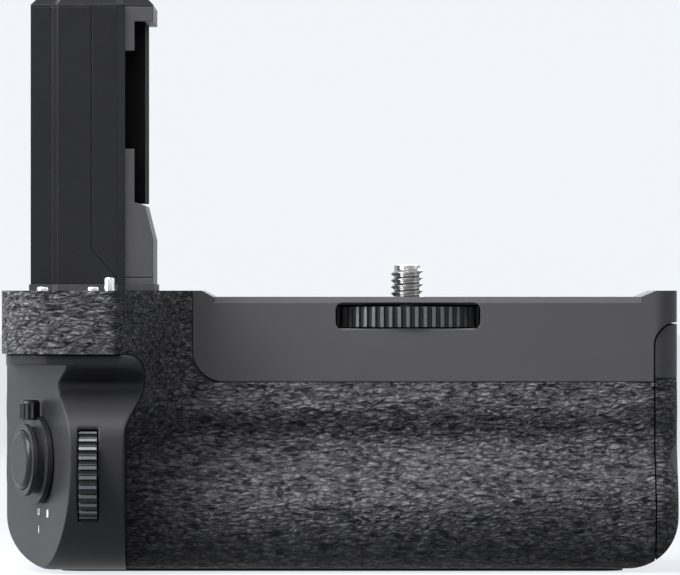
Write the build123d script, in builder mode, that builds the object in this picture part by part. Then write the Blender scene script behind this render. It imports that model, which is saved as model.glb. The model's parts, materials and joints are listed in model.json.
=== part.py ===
"""Battery grip that screws under a camera and carries two batteries in a side-loading tray.

Millimetres. The origin is where the axis of the tripod socket meets the bottom face. +X points
to the battery door, +Z up to the camera, and the sculpted front of the grip faces -Y.
"""
from build123d import *
from math import asin, cos, degrees, radians, sin, sqrt, tan
import os

os.makedirs("parts", exist_ok=True)

# Case, measured from the tripod axis
left_reach = 77.7
right_reach = 51.9
rim_rise = 1.2
band_depth = 20.2
back_depth = 22.5
case_base = 0.7
end_radius = 10.0
back_corner = 8.0
back_edge = 3.0
front_corner = 5.9
wall = 1.8
skin = 1.0
seam = 0.15
gap = 0.3
running = 0.05
split_depth = 4.0
overrun = 6.0

# Sculpted front: a column at the left end and a bulge for the fingers
column_reach = 23.0
column_flat = 57.0
column_corner = 66.0
band_left = 41.4
bulge_reach = 12.5
bulge_height = 12.5
bulge_left = 54.0
bulge_full = 36.0
bulge_fade = 5.0
bulge_end = 46.0
groove_height = 25.8
ridge_height = 31.2
underside_depth = 22.0
ridge_share = 0.16
groove_share = 0.05
left_loss_share = 0.22
right_loss_share = 0.32
flank_shares = (0, 0.2, 0.4, 0.6, 0.8, 1)
face_shares = (0.08, 0.2, 0.4, 0.6, 0.8, 0.92)
bulge_step_shares = (0.25, 0.5, 0.75, 1)
corner_angle = 75
corner_shares = (0, 0.33, 0.67, 1)

# Metal top chassis
band_bottom = 36.6
band_wall = 2.0
band_radius = 6.0
deck_thickness = 1.5
deck_chamfer = 1.15
seat_left = 37.4
seat_right = 44.8
ear_left_run = 2.3
ear_right_run = 2.9
chassis_corner = 4.5

# Control panel at the left end of the front
panel_right = 54.1
panel_lip = 50.4
panel_lip_height = 37.3
panel_lip_start = 26.0
panel_top = 41.9
nose_depth = 44.0
nose_height = 20.0
scoop_depth = 37.0
scoop_drop = 5.6
brow_depth = 42.0
brow_growth = 3
brow_lip = 1.8
chin_depth = 34.0
chin_height = 3.0
facet_angle = 20.0
facet_lip = 2.0
facet_lip_inset = 0.8
shutter_left = 70.4
shutter_depth = 27.0
shutter_height = 21.7

# Thumb wheel and camera screw
wheel_radius = 21.0
wheel_thickness = 3.9
wheel_play = 0.4
wheel_rib_count = 78
wheel_rib_radius = 0.5
slot_half_width = 13.95
slot_low_play = 0.5
slot_high_play = 0.8
slot_corner = 1.5
screw_radius = 3.175
screw_reach = 6.2
screw_point = 0.8
screw_neck_radius = 2.9
wheel_pin_radius = 2.0
wheel_pin_length = 2.3
wheel_bore_end = 0.2
deck_hole_radius = 3.9
bridge_thickness = 1.0
bridge_half_length = 27.0
bridge_half_width = 17.5

# Batteries, bay and tray
battery_length = 51.7
battery_height = 38.7
battery_width = 22.7
battery_play = 0.4
tray_sheet = 0.6
tray_side = 1.1
tray_end = 1.4
bay_sheet = 0.8
bay_roof_sheet = 0.6
socket_depth = 4.4
bay_floor = 4.6
door_face = 47.6
door_rise = 2.8
door_radius = 4.2
door_smooth_bottom = 37.3

# Tray lock
lock_depth = 12.8
lock_height = 17.2
lock_field_radius = 9.0
knob_radius = 6.0
knob_thickness = 1.5
lock_shaft_radius = 2.2
dog_thickness = 0.8
dog_hub_radius = 3.6
dog_half_width = 1.6
dog_reach = 8.4
striker_out = 4.6
striker_width = 1.6
striker_post = 1.5
striker_lip = 1.8
striker_lip_thickness = 0.6
striker_reach = 2.2
striker_root = 1.2
tab_radius = 4.6
tab_thickness = 0.9
tab_barrel_half = 4.0
tab_pin_radius = 0.25
tab_pin_reach = 5.4

# Bottom
plate_left = 67.0
plate_right = 41.6
plate_half_width = 15.6
plate_thickness = 1.2
plate_corner = 5.0
socket_radius = 6.0
socket_bore_radius = 3.175
socket_cap = 0.5
foot_ring_radius = 12.0
foot_ring_width = 2.0
foot_ring_depth = 0.6

# Stalk that plugs into the camera's battery chamber
stalk_left = 72.3
stalk_right = 48.8
stalk_front = 31.4
stalk_back = 7.3
stalk_rise = 55.9
stalk_step_depth = 2.4
stalk_step_left = 68.1
stalk_step_right = 67.1
stalk_turn_left = 55.6
stalk_turn_right = 54.2
stalk_wall = 1.5
stalk_seam_left = 60.6
stalk_seam_turn = 54.8
stalk_seam_foot_rise = 7.9
stalk_seam_low_rise = 2.5
stalk_seam_width = 0.15
stalk_seam_depth = 0.2
cap_thickness = 1.6
cap_chamfer = 1.2
base_height = 1.2
base_border = 0.3
holder_floor = 52.4
holder_lip = 50.4
holder_roof_rise = 51.5
holder_ramp_rise = 16.9
holder_mouth_top_rise = 16.3
holder_mouth_rise = 9.8
holder_front = 30.2
holder_back = 5.4
window_bottom_rise = 27.1
window_top_rise = 45.9
window_depth = 3.0
pad_tongue = 1.0
contact_count = 5
contact_pitch = 3.4
contact_width = 1.4
contact_height = 1.6
contact_length = 5.0

# Pins on the raised end beside the stalk
locator_left = 57.0
locator_depth = 36.4
locator_radius = 1.05
locator_reach = 2.6
stud_lefts = (69.65, 60.1)
stud_depth = 36.0
stud_radius = 1.2
stud_reach = 0.8
stud_root = 1.5

# Shutter button and power lever
collar_radius = 6.3
collar_lip_radius = 6.9
collar_bore = 5.75
collar_reach = 3.7
collar_lip = 0.9
cup_depth = 4.3
cup_floor = 0.6
cup_flange_radius = 7.2
cup_flange = 1.2
lever_radius = 8.35
lever_thickness = 1.1
lever_tab_reach = 11.5
lever_tab_radius = 1.85
lever_tab_dome = 0.7
lever_rib_count = 7
lever_rib = 0.28
shutter_radius = 5.65
shutter_proud = 4.5
shutter_dome = 1.0
shutter_skirt = 1.6
shutter_switch_radius = 2.2
shutter_switch_height = 0.8

# Dials
dial_radius = 10.3
dial_width = 3.4
dial_rib_count = 34
dial_rib_radius = 0.65
dial_axle_radius = 1.5
dial_bracket_sheet = 1.0
front_dial_left = 62.6
front_dial_proud = 2.1
front_dial_height = 19.6
dial_web = 1.4
dial_slot_play = 0.4
dial_cheek_end = 2.0
dial_cheek_half_height = 5.5
rear_dial_left = 71.5
rear_dial_depth = 14.3
rear_dial_height = 18.0

# Rear controls
board_thickness = 1.2
board_left = 66.0
board_right = 30.0
board_bottom = 6.0
board_top = 43.0
button_radius = 3.5
button_flange_radius = 4.2
button_flange = 0.8
button_proud = 0.9
side_button_proud = 0.15
button_travel = 0.6
button_play = 0.12
plunger_length = 0.6
switch_side = 4.0
switch_height = 1.6
plunger_radius = 1.2
focus_left = 58.5
hold_left = 46.5
rear_button_height = 37.0
selector_left = 57.0
selector_height = 21.0
selector_hole_radius = 5.4
selector_base_side = 11.0
selector_base_wall = 1.0
selector_pivot = 19.1
selector_base_back = 20.4
selector_ring_radius = 3.2
selector_ring_bore = 2.2
selector_ring_thickness = 1.4
selector_pin_radius = 0.45
selector_hub_radius = 1.5
selector_stick_radius = 0.9
selector_cap_radius = 4.3
selector_cap_front = 22.9
selector_cap_back = 25.2
selector_cap_bore_depth = 1.6
selector_press = 0.4
post_radius = 2.0
pad_left = 50.0
pad_right = 26.0
pad_bottom = 6.0
pad_top = 32.0
pad_back = 25.5
pad_sink = 0.8
pad_radius = 7.0
pad_edge = 1.2

# Two buttons on the left end
side_button_depth = 1.6
side_button_heights = (31.5, 19.5)
side_board_bottom = 11.0
side_board_top = 40.0
side_board_front = 9.0
side_board_back = 2.2

# Electronics in the bay end
contact_block_length = 3.6
contact_block_half_width = 8.0
contact_block_bottom = 12.0
contact_block_top = 34.0
blade_count = 4
blade_pitch = 4.2
blade_width = 1.4
blade_height = 14.0
connector_width = 12.0
connector_height = 5.0
connector_depth = 2.6

# Fasteners
fastener_radius = 0.8
fastener_head_radius = 1.6
fastener_head = 0.9
fastener_length = 5.0
boss_radius = 2.6
deck_screw_right = 38.0
deck_screw_left = 35.0
deck_screw_front = 13.0
deck_screw_back = 18.4
bottom_screw_inset = 6.0
bottom_screw_length = 2.2
tray_screw_depth = 9.0
tray_screw_low = 10.0
tray_screw_high = 41.0
tray_screw_length = 2.4

# Sizes that follow from the ones above
column_radius = left_reach - column_corner
column_depth = band_depth + column_reach
scoop_height = panel_top - scoop_drop
front_dial_depth = nose_depth + front_dial_proud - dial_radius
shutter_rise = left_reach - shutter_left
panel_back = shutter_depth - shutter_rise / tan(radians(facet_angle))
bay_half_width = battery_width / 2 + battery_play + tray_side + gap + bay_sheet
tray_half_width = bay_half_width - bay_sheet - gap
tray_bottom = bay_floor + bay_roof_sheet + gap
tray_floor = tray_bottom + tray_sheet
bay_roof = tray_floor + battery_height + battery_play
tray_top = bay_roof - gap
bay_top = bay_roof + bay_roof_sheet
well_length = battery_length + battery_play
tray_right_wall = tray_end
tray_left = tray_right_wall + 2 * well_length + 2 * tray_end - door_face
bay_left = tray_left + 2 * gap + bay_sheet
case_right = door_face - gap
front_wall_back = band_depth - band_wall
middle_wall = bay_half_width + wall
back_wall_inside = back_depth - wall
bridge_top = bay_top + bridge_thickness
wheel_bottom = bridge_top + gap
wheel_top = wheel_bottom + wheel_thickness
slot_bottom = wheel_bottom - slot_low_play
slot_top = wheel_top + slot_high_play
deck_underside = wheel_top + wheel_play
deck_height = deck_underside + deck_thickness
rim_height = deck_height + rim_rise
door_top = tray_top + door_rise
side_wall = skin + wall
flange_top = gap
plunger_tip = flange_top + button_flange + plunger_length
switch_top = plunger_tip + button_travel + gap
board_drop = switch_top + switch_height
board_back = back_wall_inside - board_drop
board_front = board_back - board_thickness
side_board_left = left_reach - side_wall - board_drop
stalk_top = rim_height + stalk_rise
stalk_seam_foot = rim_height + stalk_seam_foot_rise
stalk_seam_low = rim_height + stalk_seam_low_rise
cap_bottom = stalk_top - cap_thickness
holder_roof = rim_height + holder_roof_rise
holder_ramp_top = rim_height + holder_ramp_rise
holder_mouth_top = rim_height + holder_mouth_top_rise
holder_mouth_bottom = rim_height + holder_mouth_rise
window_bottom = rim_height + window_bottom_rise
window_top = rim_height + window_top_rise
base_top = rim_height + base_height
dog_left = door_face + gap
dog_right = dog_left + dog_thickness
knob_left = right_reach - knob_thickness
tab_axis = right_reach - tab_thickness / 2
striker_rear = -lock_depth - striker_out
striker_front = striker_rear - striker_width
striker_base = lock_height + dog_half_width + gap
striker_top = striker_base + striker_post
striker_low = striker_base - striker_lip


def smooth(share):
    """Ease from 0 to 1."""
    share = min(1, max(0, share))
    return share * share * (3 - 2 * share)


def bulge_share(z):
    """How much of the finger bulge stands out at a height."""
    marks = [(band_bottom, 0), (ridge_height, ridge_share), (groove_height, groove_share), (bulge_height, 1)]
    for (high, above), (low, below) in zip(marks, marks[1:]):
        if z >= low:
            return above + (below - above) * smooth((high - z) / (high - low))
    return 1


def spread_share(x):
    """How much of the finger bulge stands out along the grip."""
    left = 1 - left_loss_share * (1 - smooth((x + bulge_left) / (bulge_left - bulge_full)))
    right = 1 - right_loss_share * smooth((x - bulge_fade) / (bulge_end - bulge_fade))
    return left * right


def front_depth(x, z):
    """Depth of the sculpted front before its end is rounded."""
    across = 1 - smooth((x + column_flat) / (column_flat - band_left))
    upward = smooth((z - bulge_height) / (panel_top - bulge_height))
    bulge = bulge_reach * spread_share(x) * bulge_share(z)
    return band_depth + column_reach * across * upward + bulge


def corner_places(angles):
    """Places round the end of the grip, each with its set-back."""
    start = right_reach - front_corner * sin(radians(corner_angle))
    turns = [radians(angle) for angle in angles]
    return [(start + front_corner * sin(turn), front_corner * (1 - cos(turn))) for turn in turns]


def stations():
    """Places along the grip where its section is drawn, each with its set-back at the rounded end."""
    corner = corner_places([share * corner_angle for share in corner_shares])
    flank = column_flat - band_left
    places = [(share * flank - column_flat, 0) for share in flank_shares]
    places += [(share * (corner[0][0] + band_left) - band_left, 0) for share in face_shares]
    return places + corner


def door_stations():
    """The places on the battery door, from its inner face to its rounded end."""
    start = right_reach - front_corner * sin(radians(corner_angle))
    first = degrees(asin(max(0, door_face - start) / front_corner))
    return corner_places([first + share * (corner_angle - first) for share in corner_shares])


def profile_heights():
    """Heights of the profile's points, from the rim down to the fullest part of the bulge."""
    marks = [rim_height, panel_top, band_bottom, ridge_height, groove_height]
    heights = []
    for high, low in zip(marks, marks[1:]):
        heights += [high, (high + low) / 2]
    heights.append(groove_height)
    drop = groove_height - bulge_height
    return heights + [groove_height - share * drop for share in bulge_step_shares]


def front_line(x, setback, inset):
    """Front and rounded underside of one section, as two curves."""
    points = [(setback + inset - front_depth(x, z), z) for z in profile_heights()]
    reach = front_depth(x, bulge_height) - inset - underside_depth
    side = Spline(points, tangents=[(0, -1), (0, -1)])
    centre = (setback - underside_depth, bulge_height)
    under = EllipticalCenterArc(centre, reach, bulge_height - case_base - inset, 180, arc_size=90)
    return side @ 0, under @ 1


def block(low, high, mode=Mode.ADD):
    """Box between two opposite corners."""
    size = Vector(*high) - Vector(*low)
    with Locations((Vector(*high) + Vector(*low)) / 2):
        Box(size.X, size.Y, size.Z, mode=mode)


def rod(origin, axis, radius, length, mode=Mode.ADD):
    """Round bar that starts at a point and runs along an axis."""
    with BuildSketch(Plane(origin=origin, z_dir=axis)) as section:
        Circle(radius)
    extrude(section.sketch, amount=length, mode=mode)


def front_form(inset, places):
    """Case's front half through the given places, without its openings."""
    with BuildPart() as form:
        for x, setback in places:
            with BuildSketch(Plane.YZ.offset(x)):
                with BuildLine():
                    top, bottom = front_line(x, setback, inset)
                    step = [(setback - underside_depth, case_base)] if inset else []
                    Polyline(bottom, *step, (split_depth, case_base), (split_depth, rim_height), top)
                make_face()
        loft()
    return form.part


def front_skin(places):
    """Covering of the sculpted front through the given places, before it is trimmed."""
    with BuildPart() as form:
        for x, setback in places:
            with BuildSketch(Plane.YZ.offset(x)):
                with BuildLine():
                    top, bottom = front_line(x, setback, 0)
                    inner_top, inner_bottom = front_line(x, setback, skin)
                    Line(top, inner_top)
                    Line(bottom, inner_bottom)
                make_face()
        loft()
    return form.part


def box_slice(form, left, right, low, high, back=split_depth):
    """Part of a front form between two planes across and two heights."""
    with BuildPart() as piece:
        add(form)
        block((left, -column_depth - overrun, low), (right, back, high), Mode.INTERSECT)
    return piece.part


def column_line(inset):
    """Plan of the column from its left end round to its flat front."""
    radius = column_radius - inset
    end = Line((inset - left_reach, -panel_back), (inset - left_reach, column_radius - column_depth))
    bend = CenterArc((-column_corner, column_radius - column_depth), radius, 180, 90)
    front = Line(bend @ 1, (-column_flat, inset - column_depth))
    return end @ 0, front @ 1


def case_outline(right, top, border=0):
    """Front view of the case with its rounded lower corners, as a sketch on the XZ plane."""
    with BuildSketch(Plane.XZ.offset(-back_depth - overrun)) as outline:
        with BuildLine():
            corner = end_radius - border
            base = case_base + border
            left = border - left_reach
            Line((left, top), (left, base + corner))
            CenterArc((left + corner, base + corner), corner, 180, 90)
            Line((left + corner, base), (right - corner, base))
            CenterArc((right - corner, base + corner), corner, 270, 90)
            Polyline((right, base + corner), (right, top), (left, top))
        make_face()
    return outline.sketch


def trim_to_case(right=right_reach, top=rim_height, border=0):
    """Keep what lies inside the front view of the case."""
    outline = case_outline(right, top, border)
    extrude(outline, amount=column_depth + back_depth + 2 * overrun, mode=Mode.INTERSECT)


def band_outline(depth, clearance, right=right_reach + overrun, high=rim_height + overrun):
    """Metal band seen from the front, at a depth, grown by a clearance."""
    left, low = -band_left - clearance, band_bottom - clearance
    radius = band_radius + clearance
    with BuildSketch(Plane.XZ.offset(depth)) as outline:
        with BuildLine():
            Line((left, high), (left, low + radius))
            CenterArc((left + radius, low + radius), radius, 180, 90)
            Polyline((left + radius, low), (right, low), (right, high), (left, high))
        make_face()
    return outline.sketch


def door_outline(depth, clearance):
    """Battery door seen from the front, at a depth, grown by a clearance."""
    left, high = door_face - clearance, door_top + clearance
    radius = door_radius + clearance
    right, low = right_reach + overrun, -overrun
    with BuildSketch(Plane.XZ.offset(depth)) as outline:
        with BuildLine():
            Line((left, low), (left, high - radius))
            CenterArc((left + radius, high - radius), radius, 90, 90)
            Polyline((left + radius, high), (right, high), (right, low), (left, low))
        make_face()
    return outline.sketch


def panel_outline(depth, grow):
    """Control panel seen from the front, at a depth, grown all round."""
    right, lip = grow - panel_right, grow - panel_lip
    top = panel_top + grow
    left, low = -left_reach - overrun, -overrun
    with BuildSketch(Plane.XZ.offset(depth)) as outline:
        with BuildLine():
            Line((right, low), (right, panel_lip_start))
            Spline([(right, panel_lip_start), (lip, panel_lip_height)], tangents=[(0, 1), (0, 1)])
            Spline([(lip, panel_lip_height), (right, top)], tangents=[(0, 1), (-1, 0)])
            Polyline((right, top), (left, top), (left, low), (right, low))
        make_face()
    return outline.sketch


def panel_form(inset):
    """Solid inside of the control panel's face, set in by a distance."""
    points = [
        (brow_growth * inset - brow_depth, panel_top - inset),
        (brow_growth * inset - brow_depth + seam, panel_top - brow_lip - inset),
        (inset - scoop_depth, scoop_height),
        (inset - (nose_depth + scoop_depth) / 2, (scoop_height + nose_height) / 2 + chin_height),
        (inset - nose_depth, nose_height),
        (inset - (nose_depth + brow_depth) / 2, (nose_height + bulge_height) / 2 - chin_height / 2),
        (inset - chin_depth, chin_height + inset),
        (inset - (chin_depth + underside_depth) / 2, case_base + inset),
    ]
    with BuildPart() as form:
        with BuildSketch(Plane.YZ.offset(-left_reach - overrun)):
            with BuildLine():
                face = Spline(*points)
                Polyline(
                    face @ 1,
                    (-panel_back, case_base + inset),
                    (-panel_back, panel_top - inset),
                    face @ 0,
                )
            make_face()
        extrude(amount=left_reach - panel_lip + 2 * overrun)
        extrude(
            panel_outline(panel_back - overrun, -inset),
            amount=nose_depth + overrun,
            mode=Mode.INTERSECT,
        )
        trim_to_case(border=inset)
        with BuildSketch(shutter_plane.offset(-inset)):
            Rectangle(2 * panel_top + 2 * left_reach, 2 * panel_top + 2 * left_reach)
        extrude(amount=left_reach, mode=Mode.SUBTRACT)
    return form.part


def dial_wheel(left, depth, height):
    """Knurled dial on an axis along X."""
    with BuildSketch(Plane(origin=(-left, -depth, height), x_dir=(0, 1, 0), z_dir=(1, 0, 0))) as knurl:
        Circle(dial_radius)
        Circle(dial_axle_radius + running, mode=Mode.SUBTRACT)
        with PolarLocations(dial_radius, dial_rib_count):
            Circle(dial_rib_radius, mode=Mode.SUBTRACT)
    extrude(knurl.sketch, amount=dial_width)


def screw(origin, axis, length):
    """Cap screw whose head starts at a point and whose shank runs along an axis."""
    rod(origin, axis, fastener_head_radius, fastener_head)
    rod(origin, axis, fastener_radius, fastener_head + length)


def screw_hole(origin, axis, length):
    """Counterbored hole for one screw."""
    rod(origin, axis, fastener_head_radius, fastener_head, Mode.SUBTRACT)
    rod(origin, axis, fastener_radius, fastener_head + length, Mode.SUBTRACT)


turn = radians(facet_angle)
facet_run = (middle_wall - panel_back) * tan(turn) + wall / cos(turn)
facet_normal = Vector(-cos(turn), -sin(turn), 0)
facet_across = Vector(sin(turn), -cos(turn), 0)
shutter_centre = Vector(-shutter_left, -shutter_depth, shutter_height)
shutter_plane = Plane(origin=shutter_centre, x_dir=facet_across, z_dir=facet_normal)

deck_screws = [
    (-deck_screw_left, -deck_screw_front),
    (deck_screw_right, -deck_screw_front),
    (-deck_screw_left, deck_screw_back),
    (deck_screw_right, deck_screw_back),
]
bottom_screws = [
    (x, y)
    for x in (bottom_screw_inset - plate_left, plate_right - bottom_screw_inset)
    for y in (bottom_screw_inset - plate_half_width, plate_half_width - bottom_screw_inset)
]
tray_screws = [(y, z) for y in (-tray_screw_depth, tray_screw_depth) for z in (tray_screw_low, tray_screw_high)]

# Front cover under the leather
front_core = front_form(skin, stations())
skin_blank = front_skin(stations())
left_pocket = -left_reach + skin + wall
front_pocket = skin + wall - column_depth

with BuildPart() as front_cover:
    with BuildSketch(Plane.XY.offset(case_base)):
        with BuildLine():
            start, corner = column_line(skin)
            Polyline(
                corner,
                (-column_flat, split_depth),
                (-left_reach, split_depth),
                (-left_reach, -panel_back),
                start,
            )
        make_face()
    extrude(amount=deck_underside - case_base)
    add(front_core)
    trim_to_case(right_reach, deck_underside)
    extrude(band_outline(front_wall_back, seam), amount=column_reach, mode=Mode.SUBTRACT)
    extrude(panel_outline(middle_wall, seam), amount=column_depth, mode=Mode.SUBTRACT)
    block(
        (-left_reach, -column_depth, 0),
        (facet_run - left_reach, -panel_back, panel_top + seam),
        Mode.SUBTRACT,
    )
    block(
        (case_right, -column_depth, 0),
        (right_reach + overrun, split_depth, rim_height),
        Mode.SUBTRACT,
    )
    block(
        (left_pocket, front_pocket, case_base + wall),
        (-panel_right - wall, -middle_wall, rim_height),
        Mode.SUBTRACT,
    )
    block((-bay_left, -bay_half_width, bay_floor), (right_reach, split_depth, bay_top), Mode.SUBTRACT)
    block(
        (side_wall - left_reach, -bay_half_width, case_base + wall),
        (-bay_left, split_depth, rim_height),
        Mode.SUBTRACT,
    )
    for z in side_button_heights:
        rod(
            (-left_reach, -side_button_depth, z),
            (1, 0, 0),
            button_radius + button_play,
            side_wall,
            Mode.SUBTRACT,
        )
    block(
        (-bay_left, skin + wall - band_depth + band_wall, bay_top),
        (case_right - wall, split_depth, rim_height),
        Mode.SUBTRACT,
    )
    block(
        (-bridge_half_length, -band_depth, bay_top),
        (bridge_half_length, split_depth, rim_height),
        Mode.SUBTRACT,
    )
    with BuildSketch(Plane.YZ.offset(-bulge_full)):
        with BuildLine():
            Polyline(
                (-middle_wall, ridge_height),
                (wall - band_depth, ridge_height),
                (wall - band_depth, groove_height - wall),
                (wall - band_depth - bulge_reach / 2, bulge_height + wall),
                (wall - band_depth - bulge_reach / 2, bulge_height - wall),
                (-underside_depth, case_base + 2 * wall),
                (-middle_wall, case_base + 2 * wall),
                (-middle_wall, ridge_height),
            )
        make_face()
    extrude(amount=bulge_full + plate_right, mode=Mode.SUBTRACT)
    for x, y in deck_screws[:2]:
        rod((x, y, bay_top), (0, 0, 1), boss_radius, deck_underside - bay_top)
        screw_hole((x, y, deck_height), (0, 0, -1), fastener_length)
    block(
        (case_right - striker_root, striker_front, striker_low),
        (case_right, striker_rear, striker_top),
        Mode.SUBTRACT,
    )
    block(
        (-plate_left, -plate_half_width, 0),
        (plate_right, split_depth, plate_thickness),
        Mode.SUBTRACT,
    )
    rod((0, 0, 0), (0, 0, 1), socket_radius, bay_floor, Mode.SUBTRACT)
    for x, y in bottom_screws:
        screw_hole((x, y, 0), (0, 0, 1), bottom_screw_length)
front_cover.part.label = "front_cover"

# Leather over the sculpted front and the column
with BuildPart() as front_leather:
    with BuildSketch(Plane.XY.offset(panel_top + seam)):
        with BuildLine():
            outer_end, outer_front = column_line(0)
            inner_end, inner_front = column_line(skin)
            Line(outer_end, inner_end)
            Line(outer_front, inner_front)
        make_face()
    extrude(amount=rim_height - panel_top - seam)
    add(skin_blank)
    trim_to_case()
    extrude(band_outline(front_wall_back, seam), amount=column_reach, mode=Mode.SUBTRACT)
    extrude(panel_outline(panel_back, seam), amount=column_depth, mode=Mode.SUBTRACT)
    block(
        (case_right, -column_depth, 0),
        (right_reach + overrun, split_depth, rim_height),
        Mode.SUBTRACT,
    )
front_leather.part.label = "front_leather"

# Smooth control panel with the finger scoop, the nose and the slanted facet
panel_core = panel_form(wall)
with BuildPart() as panel_eave:
    with BuildSketch(Plane.XY.offset(panel_top - facet_lip)):
        with BuildLine():
            start, corner = column_line(facet_lip_inset)
            Polyline(corner, (-column_flat, -panel_back), start)
        make_face()
    extrude(amount=facet_lip)
    block(
        (-left_reach, -column_depth, 0),
        (-column_flat, -brow_depth, rim_height),
        Mode.SUBTRACT,
    )
    with BuildSketch(shutter_plane.offset(-wall)):
        Rectangle(2 * panel_top + 2 * left_reach, 2 * panel_top + 2 * left_reach)
    extrude(amount=-left_reach, mode=Mode.SUBTRACT)
with BuildPart() as control_panel:
    add(panel_form(0))
    add(panel_core, mode=Mode.SUBTRACT)
    add(panel_eave)
    block((facet_run - left_reach, -middle_wall, 0), (0, 0, rim_height), Mode.SUBTRACT)
    rod(
        shutter_centre - facet_normal * left_reach / 2,
        facet_normal,
        collar_radius,
        left_reach,
        Mode.SUBTRACT,
    )
    rod(
        (-front_dial_left - gap, -front_dial_depth, front_dial_height),
        (1, 0, 0),
        dial_radius + dial_slot_play,
        dial_width + 2 * gap,
        Mode.SUBTRACT,
    )
control_panel.part.label = "control_panel"


def rear_plan(inset, right):
    """Plan of the case's back half, set in by a distance."""
    left, back = inset - left_reach, back_depth - inset
    with BuildSketch(Plane.XY.offset(case_base + inset)) as plan:
        with BuildLine():
            Polyline((right, split_depth), (right, back), (back_corner - left_reach, back))
            CenterArc((back_corner - left_reach, back_depth - back_corner), back_corner - inset, 90, 90)
            Polyline((left, back_depth - back_corner), (left, split_depth), (right, split_depth))
        make_face()
    return plan.sketch


def trim_back():
    """Round the lower back edge of the case."""
    with BuildSketch(Plane.YZ.offset(-left_reach - overrun)) as outline:
        with BuildLine():
            low, back, front = case_base, back_depth, -column_depth - overrun
            Line((front, low), (back - back_edge, low))
            CenterArc((back - back_edge, low + back_edge), back_edge, 270, 90)
            Polyline((back, low + back_edge), (back, rim_height), (front, rim_height), (front, low))
        make_face()
    extrude(outline.sketch, amount=left_reach + right_reach + 2 * overrun, mode=Mode.INTERSECT)


# Rear cover
rear_buttons = [(-focus_left, rear_button_height), (-hold_left, rear_button_height)]
board_posts = [
    (x, z)
    for x in (post_radius - board_left, board_right - post_radius)
    for z in (board_bottom + post_radius, board_top - post_radius)
]
with BuildPart() as rear_cover:
    extrude(rear_plan(0, case_right), amount=deck_underside - case_base)
    trim_to_case(right_reach, deck_underside)
    trim_back()
    extrude(rear_plan(wall, case_right - wall), amount=rim_height, mode=Mode.SUBTRACT)
    block((0, 0, bay_floor), (right_reach, bay_half_width, bay_top), Mode.SUBTRACT)
    rod((0, 0, bridge_top), (0, 0, 1), wheel_radius + gap, rim_height - bridge_top, Mode.SUBTRACT)
    for x, y in deck_screws[2:]:
        rod((x, y, bay_top), (0, 0, 1), boss_radius, deck_underside - bay_top)
        screw_hole((x, y, deck_height), (0, 0, -1), fastener_length)
    for x, z in board_posts:
        rod((x, board_back, z), (0, 1, 0), post_radius, back_wall_inside - board_back)
    for x, z in rear_buttons:
        rod((x, back_wall_inside, z), (0, 1, 0), button_radius + button_play, wall, Mode.SUBTRACT)
    rod(
        (-selector_left, back_wall_inside, selector_height),
        (0, 1, 0),
        selector_hole_radius,
        wall,
        Mode.SUBTRACT,
    )
    rod(
        (-rear_dial_left - gap, rear_dial_depth, rear_dial_height),
        (1, 0, 0),
        dial_radius + dial_slot_play,
        dial_width + 2 * gap,
        Mode.SUBTRACT,
    )
    with BuildSketch(Plane.XZ.offset(-back_depth)):
        with Locations(((-pad_left - pad_right) / 2, (pad_bottom + pad_top) / 2)):
            RectangleRounded(pad_left - pad_right, pad_top - pad_bottom, pad_radius)
    extrude(amount=pad_sink, mode=Mode.SUBTRACT)
    block((-plate_left, split_depth, 0), (plate_right, plate_half_width, plate_thickness), Mode.SUBTRACT)
    rod((0, 0, 0), (0, 0, 1), socket_radius, bay_floor, Mode.SUBTRACT)
    for x, y in bottom_screws:
        screw_hole((x, y, 0), (0, 0, 1), bottom_screw_length)
rear_cover.part.label = "rear_cover"

with BuildPart() as thumb_rest:
    with BuildSketch(Plane.XZ.offset(-pad_back)):
        with Locations(((-pad_left - pad_right) / 2, (pad_bottom + pad_top) / 2)):
            RectangleRounded(pad_left - pad_right, pad_top - pad_bottom, pad_radius)
    extrude(amount=pad_back - back_depth + pad_sink)
    fillet(edges().group_by(Axis.Y)[-1], pad_edge)
thumb_rest.part.label = "thumb_rest"


def deck_plan():
    """Plan of the metal top, inside the leather at the column."""
    right = right_reach - chassis_corner
    with BuildSketch(Plane.XY.offset(deck_underside)) as plan:
        with BuildLine():
            start, corner = column_line(skin + seam)
            Polyline(
                corner,
                (-column_flat, split_depth),
                (-band_left, split_depth),
                (-band_left, -band_depth),
            )
            Line((-band_left, -band_depth), (right, -band_depth))
            CenterArc((right, chassis_corner - band_depth), chassis_corner, 270, 90)
            Line((right_reach, chassis_corner - band_depth), (right_reach, back_depth - back_edge))
            CenterArc((right_reach - back_edge, back_depth - back_edge), back_edge, 0, 90)
            Line((right_reach - back_edge, back_depth), (back_corner - left_reach, back_depth))
            CenterArc((back_corner - left_reach, back_depth - back_corner), back_corner, 90, 90)
            Polyline((-left_reach, back_depth - back_corner), (-left_reach, -panel_back), start)
        make_face()
    return plan.sketch


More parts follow.
